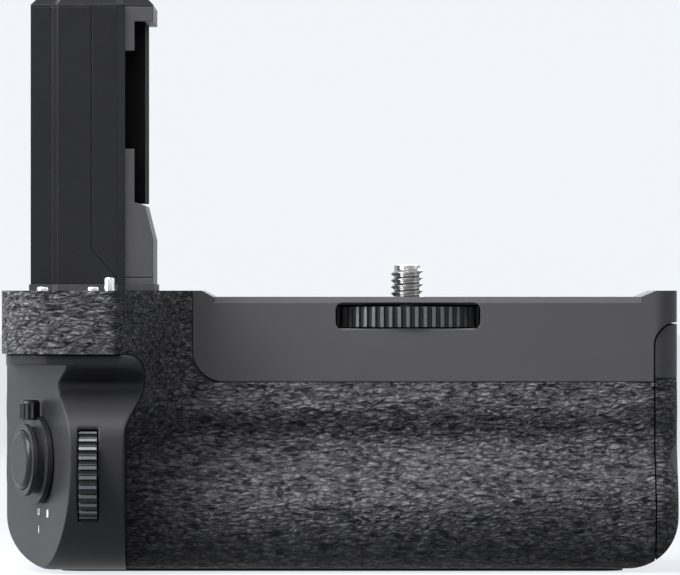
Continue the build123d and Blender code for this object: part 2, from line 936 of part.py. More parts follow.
# Metal top: deck, front band and the two raised ends
with BuildPart() as top_chassis:
    add(
        box_slice(front_form(skin + seam, stations()), -column_flat, -band_left, deck_underside, rim_height),
    )
    extrude(deck_plan(), amount=rim_height - deck_underside)
    with BuildSketch(Plane.XZ.offset(-back_depth - overrun)):
        with BuildLine():
            Polyline(
                (-seat_left - ear_left_run, rim_height),
                (-seat_left, deck_height),
                (seat_right, deck_height),
                (seat_right + ear_right_run, rim_height),
                (-seat_left - ear_left_run, rim_height),
            )
        make_face()
    extrude(amount=back_depth + band_depth + 2 * overrun, mode=Mode.SUBTRACT)
    end_block_bottom = door_top - door_radius
    with BuildSketch(Plane.XY.offset(end_block_bottom)):
        with BuildLine():
            corner_left = right_reach - chassis_corner
            Polyline((case_right, back_depth), (case_right, -band_depth), (corner_left, -band_depth))
            CenterArc((corner_left, chassis_corner - band_depth), chassis_corner, 270, 90)
            Line((right_reach, chassis_corner - band_depth), (right_reach, back_depth - back_edge))
            CenterArc((right_reach - back_edge, back_depth - back_edge), back_edge, 0, 90)
            Line((right_reach - back_edge, back_depth), (case_right, back_depth))
        make_face()
    extrude(amount=deck_underside - end_block_bottom)
    extrude(band_outline(front_wall_back, 0, case_right, deck_underside), amount=band_wall)
    extrude(
        door_outline(-back_depth - overrun, gap),
        amount=column_depth + back_depth,
        mode=Mode.SUBTRACT,
    )
    with BuildSketch(Plane.XZ.offset(front_wall_back)):
        with Locations((0, (slot_bottom + slot_top) / 2)):
            RectangleRounded(2 * slot_half_width, slot_top - slot_bottom, slot_corner)
    extrude(amount=band_wall + overrun, mode=Mode.SUBTRACT)
    with BuildSketch(Plane.YZ.offset(-seat_left)):
        with BuildLine():
            edge = -band_depth
            Polyline(
                (edge, deck_height - deck_chamfer),
                (edge + deck_chamfer, deck_height),
                (edge, rim_height),
                (edge - overrun, rim_height),
                (edge - overrun, deck_height - deck_chamfer),
                (edge, deck_height - deck_chamfer),
            )
        make_face()
    extrude(amount=seat_left + seat_right, mode=Mode.SUBTRACT)
    rod((0, 0, 0), (0, 0, 1), deck_hole_radius, rim_height, Mode.SUBTRACT)
    for x, y in deck_screws:
        screw_hole((x, y, deck_height), (0, 0, -1), fastener_length)
    rod(
        (-locator_left, -locator_depth, deck_underside),
        (0, 0, 1),
        locator_radius,
        rim_height,
        Mode.SUBTRACT,
    )
    for left in stud_lefts:
        rod(
            (-left, -stud_depth, rim_height - stud_root),
            (0, 0, 1),
            stud_radius,
            rim_height,
            Mode.SUBTRACT,
        )
    block((case_right, -bay_half_width, bay_floor), (door_face, bay_half_width, bay_roof), Mode.SUBTRACT)
top_chassis.part.label = "top_chassis"

with BuildPart() as locating_pin:
    rod(
        (-locator_left, -locator_depth, deck_underside),
        (0, 0, 1),
        locator_radius,
        rim_height - deck_underside + locator_reach,
    )
    fillet(edges().group_by(Axis.Z)[-1], locator_radius / 2)
locating_pin.part.label = "locating_pin"

with BuildPart() as rim_studs:
    for left in stud_lefts:
        rod((-left, -stud_depth, rim_height - stud_root), (0, 0, 1), stud_radius, stud_root + stud_reach)
    fillet(edges().group_by(Axis.Z)[-1], stud_reach / 2)
rim_studs.part.label = "rim_studs"

# Bottom plate, tripod socket and its rubber ring
plate_middle = ((plate_right - plate_left) / 2, 0)
with BuildPart() as bottom_plate:
    with BuildSketch():
        with Locations(plate_middle):
            RectangleRounded(plate_left + plate_right, 2 * plate_half_width, plate_corner)
        Circle(socket_radius, mode=Mode.SUBTRACT)
    extrude(amount=plate_thickness)
    with BuildSketch():
        Circle(foot_ring_radius)
        Circle(foot_ring_radius - foot_ring_width, mode=Mode.SUBTRACT)
    extrude(amount=foot_ring_depth, mode=Mode.SUBTRACT)
    for x, y in bottom_screws:
        screw_hole((x, y, 0), (0, 0, 1), bottom_screw_length)
bottom_plate.part.label = "bottom_plate"

with BuildPart() as foot_ring:
    with BuildSketch():
        Circle(foot_ring_radius)
        Circle(foot_ring_radius - foot_ring_width, mode=Mode.SUBTRACT)
    extrude(amount=foot_ring_depth)
foot_ring.part.label = "foot_ring"

with BuildPart() as tripod_socket:
    rod((0, 0, 0), (0, 0, 1), socket_radius, socket_depth)
    rod((0, 0, 0), (0, 0, 1), socket_bore_radius, socket_depth - socket_cap, Mode.SUBTRACT)
tripod_socket.part.label = "tripod_socket"

# Battery bay and its contacts
contact_heights = (contact_block_bottom + contact_block_top) / 2
blade_places = [(index - (blade_count - 1) / 2) * blade_pitch for index in range(blade_count)]
blade_low = contact_heights - blade_height / 2
blade_high = contact_heights + blade_height / 2
with BuildPart() as battery_bay:
    block((-bay_left, -bay_half_width, bay_floor), (case_right, bay_half_width, bay_top))
    inner = bay_half_width - bay_sheet
    block(
        (bay_sheet - bay_left, -inner, bay_floor + bay_roof_sheet),
        (right_reach, inner, bay_roof),
        Mode.SUBTRACT,
    )
    block(
        (-bay_left, blade_places[0] - blade_width, blade_low - gap),
        (bay_sheet - bay_left, blade_places[-1] + blade_width, blade_high + gap),
        Mode.SUBTRACT,
    )
battery_bay.part.label = "battery_bay"

with BuildPart() as contact_block:
    block(
        (-bay_left - contact_block_length, -contact_block_half_width, contact_block_bottom),
        (-bay_left, contact_block_half_width, contact_block_top),
    )
contact_block.part.label = "contact_block"

with BuildPart() as battery_contacts:
    for place in blade_places:
        block(
            (-bay_left, place - blade_width / 2, blade_low),
            (-tray_left - gap, place + blade_width / 2, blade_high),
        )
battery_contacts.part.label = "battery_contacts"

# Battery tray
pad_thickness = tray_end / 2
with BuildPart() as battery_tray:
    block((-tray_left, -tray_half_width, tray_bottom), (door_face, tray_half_width, tray_top))
    for step in range(2):
        left = tray_end - tray_left + step * (well_length + tray_end)
        block(
            (left, tray_side - tray_half_width, tray_floor),
            (left + well_length, tray_half_width - tray_side, tray_top),
            Mode.SUBTRACT,
        )
    for place in blade_places:
        block(
            (-tray_left, place - blade_width / 2, blade_low),
            (pad_thickness - tray_left, place + blade_width / 2, blade_high),
            Mode.SUBTRACT,
        )
    for y, z in tray_screws:
        screw_hole((door_face - tray_right_wall, y, z), (1, 0, 0), tray_screw_length)
battery_tray.part.label = "battery_tray"

with BuildPart() as tray_contacts:
    for place in blade_places:
        block(
            (-tray_left, place - blade_width / 2, blade_low),
            (pad_thickness - tray_left, place + blade_width / 2, blade_high),
        )
tray_contacts.part.label = "tray_contacts"


def lock_rod(left, right, radius, mode=Mode.ADD):
    """Round bar on the axis of the tray lock, between two planes across the grip."""
    rod((left, -lock_depth, lock_height), (1, 0, 0), radius, right - left, mode)


lock_plane = Plane(origin=(0, -lock_depth, lock_height), x_dir=(0, 1, 0), z_dir=(1, 0, 0))
sweep = dog_reach + gap
pocket_right = dog_right + gap
tab_sweep = tab_radius + gap
door_form = front_form(0, door_stations())
with BuildPart() as lock_field:
    add(box_slice(door_form, door_face, right_reach, 0, door_smooth_bottom))
    lock_rod(door_face, right_reach, lock_field_radius - seam, Mode.INTERSECT)

with BuildPart() as tray_end_cover:
    front = -bay_half_width
    add(
        box_slice(front_form(skin, door_stations()), door_face, right_reach, 0, door_smooth_bottom, front),
    )
    add(box_slice(door_form, door_face, right_reach, door_smooth_bottom, door_top, front))
    trim_to_case()
    with BuildSketch(Plane.XY.offset(case_base)):
        with BuildLine():
            Polyline((right_reach - back_edge, back_depth), (door_face, back_depth), (door_face, front))
            Polyline((door_face, front), (right_reach, front), (right_reach, back_depth - back_edge))
            CenterArc((right_reach - back_edge, back_depth - back_edge), back_edge, 0, 90)
        make_face()
    extrude(amount=door_top - case_base)
    add(lock_field.part)
    trim_to_case()
    extrude(
        door_outline(-back_depth - overrun, 0),
        amount=column_depth + back_depth,
        mode=Mode.INTERSECT,
    )
    trim_back()
    block(
        (door_face, -lock_depth - sweep, lock_height - sweep),
        (pocket_right, dog_half_width + gap - lock_depth, lock_height + dog_half_width + gap),
        Mode.SUBTRACT,
    )
    block(
        (door_face, striker_front - gap, striker_low - gap),
        (case_right + striker_reach + gap, striker_rear + gap, striker_top + gap),
        Mode.SUBTRACT,
    )
    lock_rod(door_face, pocket_right, dog_hub_radius + gap, Mode.SUBTRACT)
    lock_rod(door_face, right_reach, lock_shaft_radius + running, Mode.SUBTRACT)
    lock_rod(knob_left - gap, right_reach, knob_radius + gap, Mode.SUBTRACT)
    for y, z in tray_screws:
        screw_hole((door_face - tray_right_wall, y, z), (1, 0, 0), tray_screw_length)
tray_end_cover.part.label = "tray_end_cover"

with BuildPart() as end_cover_leather:
    add(box_slice(front_skin(door_stations()), door_face, right_reach, 0, door_smooth_bottom - seam))
    trim_to_case()
    lock_rod(door_face, right_reach, lock_field_radius, Mode.SUBTRACT)
end_cover_leather.part.label = "end_cover_leather"

# Tray lock
with BuildPart() as lock_knob:
    lock_rod(knob_left, right_reach, knob_radius)
    lock_rod(dog_left, knob_left, lock_shaft_radius)
    pocket = tab_thickness + gap
    with BuildSketch(lock_plane.offset(right_reach - pocket)):
        Circle(tab_sweep)
        with Locations((-tab_sweep - tab_thickness / 2 - gap, 0)):
            Rectangle(2 * tab_sweep, 2 * tab_sweep, mode=Mode.SUBTRACT)
    extrude(amount=pocket, mode=Mode.SUBTRACT)
    rod(
        (tab_axis, -lock_depth, lock_height - tab_pin_reach - running),
        (0, 0, 1),
        tab_pin_radius + running,
        2 * (tab_pin_reach + running),
        Mode.SUBTRACT,
    )
lock_knob.part.label = "lock_knob"

with BuildPart() as finger_tab:
    with BuildSketch(lock_plane.offset(right_reach - tab_thickness)):
        Circle(tab_radius)
        with Locations((-tab_radius, 0)):
            Rectangle(2 * tab_radius, 2 * tab_radius, mode=Mode.SUBTRACT)
    extrude(amount=tab_thickness)
    rod(
        (tab_axis, -lock_depth, lock_height - tab_barrel_half),
        (0, 0, 1),
        tab_thickness / 2,
        2 * tab_barrel_half,
    )
    rod(
        (tab_axis, -lock_depth, lock_height - tab_pin_reach),
        (0, 0, 1),
        tab_pin_radius,
        2 * tab_pin_reach,
    )
finger_tab.part.label = "finger_tab"

with BuildPart() as lock_dog:
    with BuildSketch(lock_plane.offset(dog_left)):
        Circle(dog_hub_radius)
        with Locations((0, -dog_reach / 2)):
            RectangleRounded(2 * dog_half_width, dog_reach, dog_half_width / 2)
        Circle(lock_shaft_radius, mode=Mode.SUBTRACT)
    extrude(amount=dog_thickness)
lock_dog.part.label = "lock_dog"

with BuildPart() as lock_striker:
    block(
        (case_right - striker_root, striker_front, striker_low),
        (case_right, striker_rear, striker_top),
    )
    block(
        (case_right, striker_front, striker_base),
        (case_right + striker_reach, striker_rear, striker_top),
    )
    block(
        (case_right + striker_reach - striker_lip_thickness, striker_front, striker_low),
        (case_right + striker_reach, striker_rear, striker_base),
    )
lock_striker.part.label = "lock_striker"

# Thumb wheel, camera screw and the bridge that carries them
with BuildPart() as screw_bridge:
    block(
        (-bridge_half_length, -bridge_half_width, bay_top),
        (bridge_half_length, bridge_half_width, bridge_top),
    )
    rod((0, 0, bridge_top), (0, 0, 1), wheel_pin_radius, wheel_pin_length)
screw_bridge.part.label = "screw_bridge"

screw_seat = bridge_top + wheel_pin_length + 2 * wheel_bore_end
with BuildPart() as attachment_wheel:
    with BuildSketch(Plane.XY.offset(wheel_bottom)):
        Circle(wheel_radius)
        with PolarLocations(wheel_radius, wheel_rib_count):
            Circle(wheel_rib_radius, mode=Mode.SUBTRACT)
    extrude(amount=wheel_thickness)
    rod(
        (0, 0, wheel_bottom),
        (0, 0, 1),
        wheel_pin_radius + running,
        screw_seat - wheel_bottom - wheel_bore_end,
        Mode.SUBTRACT,
    )
    rod((0, 0, screw_seat), (0, 0, 1), screw_radius, wheel_thickness, Mode.SUBTRACT)
attachment_wheel.part.label = "attachment_wheel"

with BuildPart() as attachment_screw:
    rod((0, 0, screw_seat), (0, 0, 1), screw_radius, wheel_top - screw_seat)
    rod((0, 0, wheel_top), (0, 0, 1), screw_neck_radius, deck_height - wheel_top)
    rod((0, 0, deck_height), (0, 0, 1), screw_radius, screw_reach)
    chamfer(edges().group_by(Axis.Z)[-1], screw_point)
attachment_screw.part.label = "attachment_screw"


def stalk_plan(height, border=0):
    """Plan of the stalk with its stepped left end and turned right end, grown by a border."""
    front, back = -stalk_front - border, stalk_back + border
    with BuildSketch(Plane.XY.offset(height)) as plan:
        with BuildLine():
            Polyline(
                (-stalk_left - border, back),
                (-stalk_left - border, front + stalk_step_depth),
                (-stalk_step_left, front + stalk_step_depth),
                (-stalk_step_right, front),
                (-stalk_turn_left, front),
                (-stalk_turn_right, -holder_front - border),
                (border - stalk_right, -holder_front - border),
                (border - stalk_right, back),
                (-stalk_left - border, back),
            )
        make_face()
    return plan.sketch


# Stalk
contact_places = [(index - (contact_count - 1) / 2) * contact_pitch - (stalk_front - stalk_back) / 2
                  for index in range(contact_count)]
stalk_screw_places = [(-(stalk_left + stalk_turn_right) / 2, z) for z in (holder_mouth_bottom, window_top)]
latch_places = (contact_places[0], contact_places[-1])
with BuildPart() as stalk_gasket:
    extrude(stalk_plan(rim_height, base_border), amount=base_height)
stalk_gasket.part.label = "stalk_gasket"

with BuildPart() as stalk_body:
    extrude(stalk_plan(base_top), amount=cap_bottom - base_top)
    block(
        (-stalk_turn_right, -stalk_front, base_top),
        (-stalk_right, stalk_back, cap_bottom),
        Mode.SUBTRACT,
    )
    block(
        (stalk_wall - stalk_left, stalk_wall + stalk_step_depth - stalk_front, base_top + stalk_wall),
        (-stalk_turn_left, stalk_back - stalk_wall, cap_bottom),
        Mode.SUBTRACT,
    )
    for x, z in stalk_screw_places:
        rod((x, stalk_back - stalk_wall, z), (0, -1, 0), fastener_head_radius, fastener_length)
        screw_hole((x, stalk_back, z), (0, -1, 0), fastener_length - stalk_wall)
    block(
        (-stalk_left, latch_places[0], holder_mouth_bottom - stalk_wall),
        (stalk_wall - stalk_left, latch_places[-1], holder_mouth_bottom + stalk_wall),
        Mode.SUBTRACT,
    )
    with BuildSketch(Plane.XZ.offset(stalk_front)):
        with BuildLine():
            Polyline(
                (-stalk_seam_left, cap_bottom),
                (-stalk_seam_left, stalk_seam_foot),
                (-stalk_seam_turn - stalk_step_left + stalk_step_right, stalk_seam_low),
                (-stalk_turn_left, stalk_seam_low),
            )
        trace(line_width=stalk_seam_width)
    extrude(amount=-stalk_seam_depth, mode=Mode.SUBTRACT)
stalk_body.part.label = "stalk_body"

latch_proud = base_border
with BuildPart() as stalk_latch:
    block(
        (-stalk_left - latch_proud, latch_places[0], holder_mouth_bottom - stalk_wall),
        (stalk_wall - stalk_left, latch_places[-1], holder_mouth_bottom + stalk_wall),
    )
    chamfer(edges().filter_by(Axis.Y).group_by(Axis.X)[0], latch_proud)
stalk_latch.part.label = "stalk_latch"

with BuildPart() as stalk_cap:
    extrude(stalk_plan(cap_bottom), amount=cap_thickness)
    chamfer(faces().sort_by(Axis.Z)[-1].edges(), cap_chamfer)
    for place in contact_places:
        block(
            (stalk_wall - stalk_left, place - contact_width / 2, cap_bottom),
            (stalk_wall - stalk_left + contact_length, place + contact_width / 2, stalk_top),
            Mode.SUBTRACT,
        )
stalk_cap.part.label = "stalk_cap"

with BuildPart() as stalk_contacts:
    for place in contact_places:
        block(
            (stalk_wall - stalk_left, place - contact_width / 2, cap_bottom),
            (stalk_wall - stalk_left + contact_length, place + contact_width / 2, cap_bottom + contact_height),
        )
stalk_contacts.part.label = "stalk_contacts"

with BuildPart() as stalk_board:
    block(
        (stalk_wall - stalk_left, -stalk_wall - board_thickness, base_top + stalk_wall),
        (-stalk_turn_left, -stalk_wall, cap_bottom),
    )
stalk_board.part.label = "stalk_board"

# Holder on the stalk that keeps the camera's own battery cover, and the soft pad in it
holder_pad_front = window_depth - holder_front
with BuildPart() as cover_holder:
    with BuildSketch(Plane.XZ.offset(-holder_back)):
        with BuildLine():
            Polyline(
                (-stalk_turn_right, base_top),
                (-stalk_right, base_top),
                (-stalk_right, holder_mouth_bottom),
                (-holder_lip, holder_mouth_top),
                (-holder_floor, holder_ramp_top),
                (-holder_floor, holder_roof),
                (-stalk_right, holder_roof),
                (-stalk_right, cap_bottom),
                (-stalk_turn_right, cap_bottom),
                (-stalk_turn_right, base_top),
            )
        make_face()
    extrude(amount=holder_front + holder_back)
    block(
        (-stalk_turn_right, -holder_front, window_bottom),
        (-holder_floor, holder_pad_front + pad_tongue, window_top),
        Mode.SUBTRACT,
    )
    block(
        (-stalk_turn_right, -holder_front, stalk_seam_low - stalk_seam_width / 2),
        (-stalk_right, stalk_seam_depth - holder_front, stalk_seam_low + stalk_seam_width / 2),
        Mode.SUBTRACT,
    )
cover_holder.part.label = "cover_holder"

with BuildPart() as holder_pad:
    block((-holder_floor, holder_pad_front, holder_ramp_top), (-holder_lip, holder_back, holder_roof))
    block(
        (-stalk_turn_right, holder_pad_front, window_bottom),
        (-holder_floor, holder_pad_front + pad_tongue, window_top),
    )
holder_pad.part.label = "holder_pad"


def facet_point(out, up=0, across=0):
    """Point beside the shutter axis, at a height above the slanted facet."""
    return shutter_centre + facet_normal * out + Vector(0, 0, 1) * up + facet_across * across


def facet_rod(low, high, radius, mode=Mode.ADD):
    """Round bar on the shutter axis between two heights above the facet."""
    rod(facet_point(low), facet_normal, radius, high - low, mode)


# Shutter button, its fixed collar and the lever around it
facet_axis = Axis(shutter_centre, facet_normal)
collar_lip_low = collar_reach - collar_lip
with BuildPart() as shutter_collar:
    facet_rod(-cup_depth, collar_reach, collar_radius)
    facet_rod(collar_lip_low, collar_reach, collar_lip_radius)
    facet_rod(-wall - cup_flange, -wall, cup_flange_radius)
    facet_rod(cup_floor - cup_depth, collar_reach, collar_bore, Mode.SUBTRACT)
shutter_collar.part.label = "shutter_collar"

with BuildPart() as shutter_button:
    facet_rod(-shutter_skirt, shutter_proud, shutter_radius)
    fillet(edges().sort_by(facet_axis)[-1], shutter_dome)
shutter_button.part.label = "shutter_button"

with BuildPart() as shutter_switch:
    facet_rod(
        cup_floor - cup_depth,
        cup_floor + shutter_switch_height - cup_depth,
        shutter_switch_radius,
    )
shutter_switch.part.label = "shutter_switch"

tab_start = (lever_radius + collar_lip_radius) / 2
tab_out = gap + lever_tab_radius
with BuildPart() as lever_tab:
    rod(facet_point(tab_out, tab_start), (0, 0, 1), lever_tab_radius, lever_tab_reach - tab_start)
    fillet(edges().sort_by(Axis.Z)[-1], lever_tab_dome)
with BuildPart() as power_lever:
    facet_rod(gap, gap + lever_thickness, lever_radius)
    add(lever_tab)
    for index in range(lever_rib_count):
        angle = radians(180 * index / (lever_rib_count - 1) - 90)
        rod(
            facet_point(
                tab_out + lever_tab_radius * cos(angle),
                tab_start + lever_rib,
                lever_tab_radius * sin(angle),
            ),
            (0, 0, 1),
            lever_rib,
            lever_tab_reach - tab_start - lever_tab_dome - lever_rib,
        )
    facet_rod(0, gap + lever_thickness + overrun, collar_radius + running, Mode.SUBTRACT)
    facet_rod(
        gap + lever_thickness,
        gap + lever_thickness + overrun,
        collar_lip_radius + gap,
        Mode.SUBTRACT,
    )
power_lever.part.label = "power_lever"

# Dials with their axles and brackets
cheek_gap = dial_slot_play
with BuildPart() as front_dial:
    dial_wheel(front_dial_left, front_dial_depth, front_dial_height)
front_dial.part.label = "front_dial"

with BuildPart() as rear_dial:
    dial_wheel(rear_dial_left, -rear_dial_depth, rear_dial_height)
rear_dial.part.label = "rear_dial"


def dial_bracket(left, depth, height, front, back, web):
    """Two cheeks joined by a web, bored for the dial's axle."""
    cheek_left = -left - cheek_gap - dial_bracket_sheet
    cheek_right = dial_width - left + cheek_gap + dial_bracket_sheet
    low, high = height - dial_cheek_half_height, height + dial_cheek_half_height
    block((cheek_left, front, low), (cheek_right, back, high))
    open_front, open_back = (front, web) if web > depth else (web, back)
    block(
        (-left - cheek_gap, open_front, low),
        (dial_width - left + cheek_gap, open_back, high),
        Mode.SUBTRACT,
    )
    rod(
        (cheek_left, depth, height),
        (1, 0, 0),
        dial_axle_radius,
        cheek_right - cheek_left,
        Mode.SUBTRACT,
    )


def dial_axle(left, depth, height):
    """Plain pin through both cheeks of a dial's bracket."""
    length = dial_width + 2 * cheek_gap + 2 * dial_bracket_sheet
    rod((-left - cheek_gap - dial_bracket_sheet, depth, height), (1, 0, 0), dial_axle_radius, length)


with BuildPart() as front_dial_bracket:
    cheek_front, front_web = -front_dial_depth - dial_cheek_end, -middle_wall - dial_web
    dial_bracket(
        front_dial_left,
        -front_dial_depth,
        front_dial_height,
        cheek_front,
        -middle_wall,
        front_web,
    )
front_dial_bracket.part.label = "front_dial_bracket"

with BuildPart() as front_dial_axle:
    dial_axle(front_dial_left, -front_dial_depth, front_dial_height)
front_dial_axle.part.label = "front_dial_axle"

rear_web = rear_dial_depth - dial_radius - dial_slot_play
cheek_run = rear_dial_left + cheek_gap + dial_bracket_sheet - left_reach + back_corner
cheek_back = back_depth - back_corner + sqrt((back_corner - wall) ** 2 - cheek_run**2)
with BuildPart() as rear_dial_bracket:
    dial_bracket(
        rear_dial_left,
        rear_dial_depth,
        rear_dial_height,
        rear_web - dial_web,
        cheek_back,
        rear_web,
    )
rear_dial_bracket.part.label = "rear_dial_bracket"

with BuildPart() as rear_dial_axle:
    dial_axle(rear_dial_left, rear_dial_depth, rear_dial_height)
rear_dial_axle.part.label = "rear_dial_axle"


def push_button(face, axis, thickness, proud=button_proud):
    """Round push button through a wall, with an inner flange and a plunger."""
    face, axis = Vector(*face), Vector(*axis)
    inside = face - axis * thickness
    rod(inside - axis * flange_top, axis, button_radius, thickness + flange_top + proud)
    rod(inside - axis * (flange_top + button_flange), axis, button_flange_radius, button_flange)
    rod(inside - axis * plunger_tip, axis, plunger_radius, plunger_length)
    fillet(edges().sort_by(Axis(face, axis))[-1], button_play)


def tact_switch(board_point, axis):
    """Square switch that stands on a circuit board."""
    with BuildSketch(Plane(origin=board_point, z_dir=axis)) as base:
        Rectangle(switch_side, switch_side)
    extrude(base.sketch, amount=switch_height)


# Push buttons
with BuildPart() as focus_button:
    push_button((-focus_left, back_depth, rear_button_height), (0, 1, 0), wall)
focus_button.part.label = "focus_button"

with BuildPart() as hold_button:
    push_button((-hold_left, back_depth, rear_button_height), (0, 1, 0), wall)
hold_button.part.label = "hold_button"

custom_buttons = []
for number, height in enumerate(side_button_heights, 1):
    with BuildPart() as custom_button:
        face = (-left_reach, -side_button_depth, height)
        push_button(face, (-1, 0, 0), side_wall, side_button_proud)
    custom_button.part.label = f"custom_button_{number}"
    custom_buttons.append(custom_button)

# Circuit boards and what stands on them
with BuildPart() as main_board:
    block((-board_left, board_front, board_bottom), (board_right, board_back, board_top))
main_board.part.label = "main_board"

with BuildPart() as side_board:
    block(
        (-side_board_left, -side_board_front, side_board_bottom),
        (board_thickness - side_board_left, side_board_back, side_board_top),
    )
side_board.part.label = "side_board"

with BuildPart() as rear_switches:
    for x, z in rear_buttons:
        tact_switch((x, board_back, z), (0, 1, 0))
rear_switches.part.label = "rear_switches"

with BuildPart() as side_switches:
    for z in side_button_heights:
        tact_switch((-side_board_left, -side_button_depth, z), (-1, 0, 0))
side_switches.part.label = "side_switches"

connector_left = board_right - 2 * connector_width
with BuildPart() as board_connectors:
    for low in (board_bottom + connector_height, board_top - 2 * connector_height):
        block(
            (connector_left, board_back, low),
            (connector_left + connector_width, board_back + connector_depth, low + connector_height),
        )
board_connectors.part.label = "board_connectors"

# Multi-way selector: fixed box, tilting ring, tilting stick and pressing cap
half_base = selector_base_side / 2
half_ring = selector_ring_thickness / 2
selector_bore = half_base - selector_base_wall
with BuildPart() as selector_base:
    block(
        (-selector_left - half_base, board_back, selector_height - half_base),
        (half_base - selector_left, selector_base_back, selector_height + half_base),
    )
    block(
        (-selector_left - selector_bore, board_back + selector_base_wall, selector_height - selector_bore),
        (selector_bore - selector_left, selector_base_back, selector_height + selector_bore),
        Mode.SUBTRACT,
    )
    rod(
        (-selector_left - half_base, selector_pivot, selector_height),
        (1, 0, 0),
        selector_pin_radius + running,
        selector_base_side,
        Mode.SUBTRACT,
    )
selector_base.part.label = "selector_base"

with BuildPart() as selector_yoke:
    rod(
        (-selector_left - half_base, selector_pivot, selector_height),
        (1, 0, 0),
        selector_pin_radius,
        selector_base_side,
    )
    rod(
        (-selector_left, selector_pivot - half_ring, selector_height),
        (0, 1, 0),
        selector_ring_radius,
        selector_ring_thickness,
    )
    rod(
        (-selector_left, selector_pivot - half_ring, selector_height),
        (0, 1, 0),
        selector_ring_bore,
        selector_ring_thickness,
        Mode.SUBTRACT,
    )
    rod(
        (-selector_left, selector_pivot, selector_height - selector_ring_radius),
        (0, 0, 1),
        selector_pin_radius + running,
        2 * selector_ring_radius,
        Mode.SUBTRACT,
    )
selector_yoke.part.label = "selector_yoke"

stick_top = selector_cap_front + selector_cap_bore_depth - selector_press - running
with BuildPart() as selector_stick:
    rod(
        (-selector_left, selector_pivot - half_ring, selector_height),
        (0, 1, 0),
        selector_hub_radius,
        selector_ring_thickness,
    )
    rod(
        (-selector_left, selector_pivot, selector_height),
        (0, 1, 0),
        selector_stick_radius,
        stick_top - selector_pivot,
    )
    rod(
        (-selector_left, selector_pivot, selector_height - selector_ring_radius),
        (0, 0, 1),
        selector_pin_radius,
        2 * selector_ring_radius,
    )
selector_stick.part.label = "selector_stick"

with BuildPart() as selector_cap:
    rod(
        (-selector_left, selector_cap_front, selector_height),
        (0, 1, 0),
        selector_cap_radius,
        selector_cap_back - selector_cap_front,
    )
    rod(
        (-selector_left, selector_cap_front, selector_height),
        (0, 1, 0),
        selector_stick_radius + running,
        selector_cap_bore_depth,
        Mode.SUBTRACT,
    )
    fillet(edges().group_by(Axis.Y)[-1], selector_press)
selector_cap.part.label = "selector_cap"

# Fasteners
with BuildPart() as deck_fasteners:
    for x, y in deck_screws:
        screw((x, y, deck_height), (0, 0, -1), fastener_length)
deck_fasteners.part.label = "deck_fasteners"

with BuildPart() as bottom_fasteners:
    for x, y in bottom_screws:
        screw((x, y, 0), (0, 0, 1), bottom_screw_length)
bottom_fasteners.part.label = "bottom_fasteners"

with BuildPart() as stalk_fasteners:
    for x, z in stalk_screw_places:
        screw((x, stalk_back, z), (0, -1, 0), fastener_length - stalk_wall)
stalk_fasteners.part.label = "stalk_fasteners"

with BuildPart() as tray_fasteners:
    for y, z in tray_screws:
        screw((door_face - tray_right_wall, y, z), (1, 0, 0), tray_screw_length)
tray_fasteners.part.label = "tray_fasteners"

pieces = [
    top_chassis, front_cover, front_leather, control_panel, rear_cover, thumb_rest, bottom_plate,
    foot_ring, tripod_socket, locating_pin, rim_studs, battery_bay, contact_block, battery_contacts,
    battery_tray, tray_contacts, tray_end_cover, end_cover_leather, lock_knob, finger_tab, lock_dog,
    lock_striker, screw_bridge, attachment_wheel, attachment_screw, stalk_gasket, stalk_body,
    stalk_latch, stalk_cap, stalk_contacts, stalk_board, cover_holder, holder_pad, shutter_collar,
    shutter_button, shutter_switch, power_lever, front_dial, front_dial_bracket, front_dial_axle,
    rear_dial, rear_dial_bracket, rear_dial_axle, focus_button, hold_button, main_board, side_board,
    rear_switches, side_switches, board_connectors, selector_base, selector_yoke, selector_stick,
    selector_cap, deck_fasteners, bottom_fasteners, stalk_fasteners, tray_fasteners,
] + custom_buttons
for piece in pieces:
    export_step(piece.part, f"parts/{piece.part.label}.step")
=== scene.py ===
"""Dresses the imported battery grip: finishes for every piece, a threaded screw, and the studio.

Metres. The front of the grip faces -Y, and the screw that enters the camera points up +Z.
"""
import json
from math import cos, pi, radians, sin

import bmesh
import bpy
from mathutils import Matrix, Vector

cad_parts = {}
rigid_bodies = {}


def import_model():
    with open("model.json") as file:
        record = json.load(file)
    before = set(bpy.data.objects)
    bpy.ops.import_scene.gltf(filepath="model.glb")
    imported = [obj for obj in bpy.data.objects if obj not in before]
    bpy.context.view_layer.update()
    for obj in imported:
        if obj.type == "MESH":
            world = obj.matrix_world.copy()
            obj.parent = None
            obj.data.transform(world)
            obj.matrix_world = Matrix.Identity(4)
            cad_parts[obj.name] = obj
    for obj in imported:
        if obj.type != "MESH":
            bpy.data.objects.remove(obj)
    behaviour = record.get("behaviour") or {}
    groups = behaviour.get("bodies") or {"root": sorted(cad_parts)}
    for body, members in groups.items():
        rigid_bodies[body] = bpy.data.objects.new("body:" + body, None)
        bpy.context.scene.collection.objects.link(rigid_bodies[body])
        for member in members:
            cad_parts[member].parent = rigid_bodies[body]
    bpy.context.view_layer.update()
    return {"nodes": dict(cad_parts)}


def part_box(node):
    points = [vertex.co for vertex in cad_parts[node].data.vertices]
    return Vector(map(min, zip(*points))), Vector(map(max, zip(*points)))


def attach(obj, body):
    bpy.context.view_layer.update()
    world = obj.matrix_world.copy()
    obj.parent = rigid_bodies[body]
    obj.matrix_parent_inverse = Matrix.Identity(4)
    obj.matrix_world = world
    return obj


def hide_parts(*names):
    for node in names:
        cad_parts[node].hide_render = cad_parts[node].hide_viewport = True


for leftover in list(bpy.data.objects):
    bpy.data.objects.remove(leftover, do_unlink=True)

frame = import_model()
nodes = frame["nodes"]
MM = 0.001
SHARP_ANGLE = radians(30)

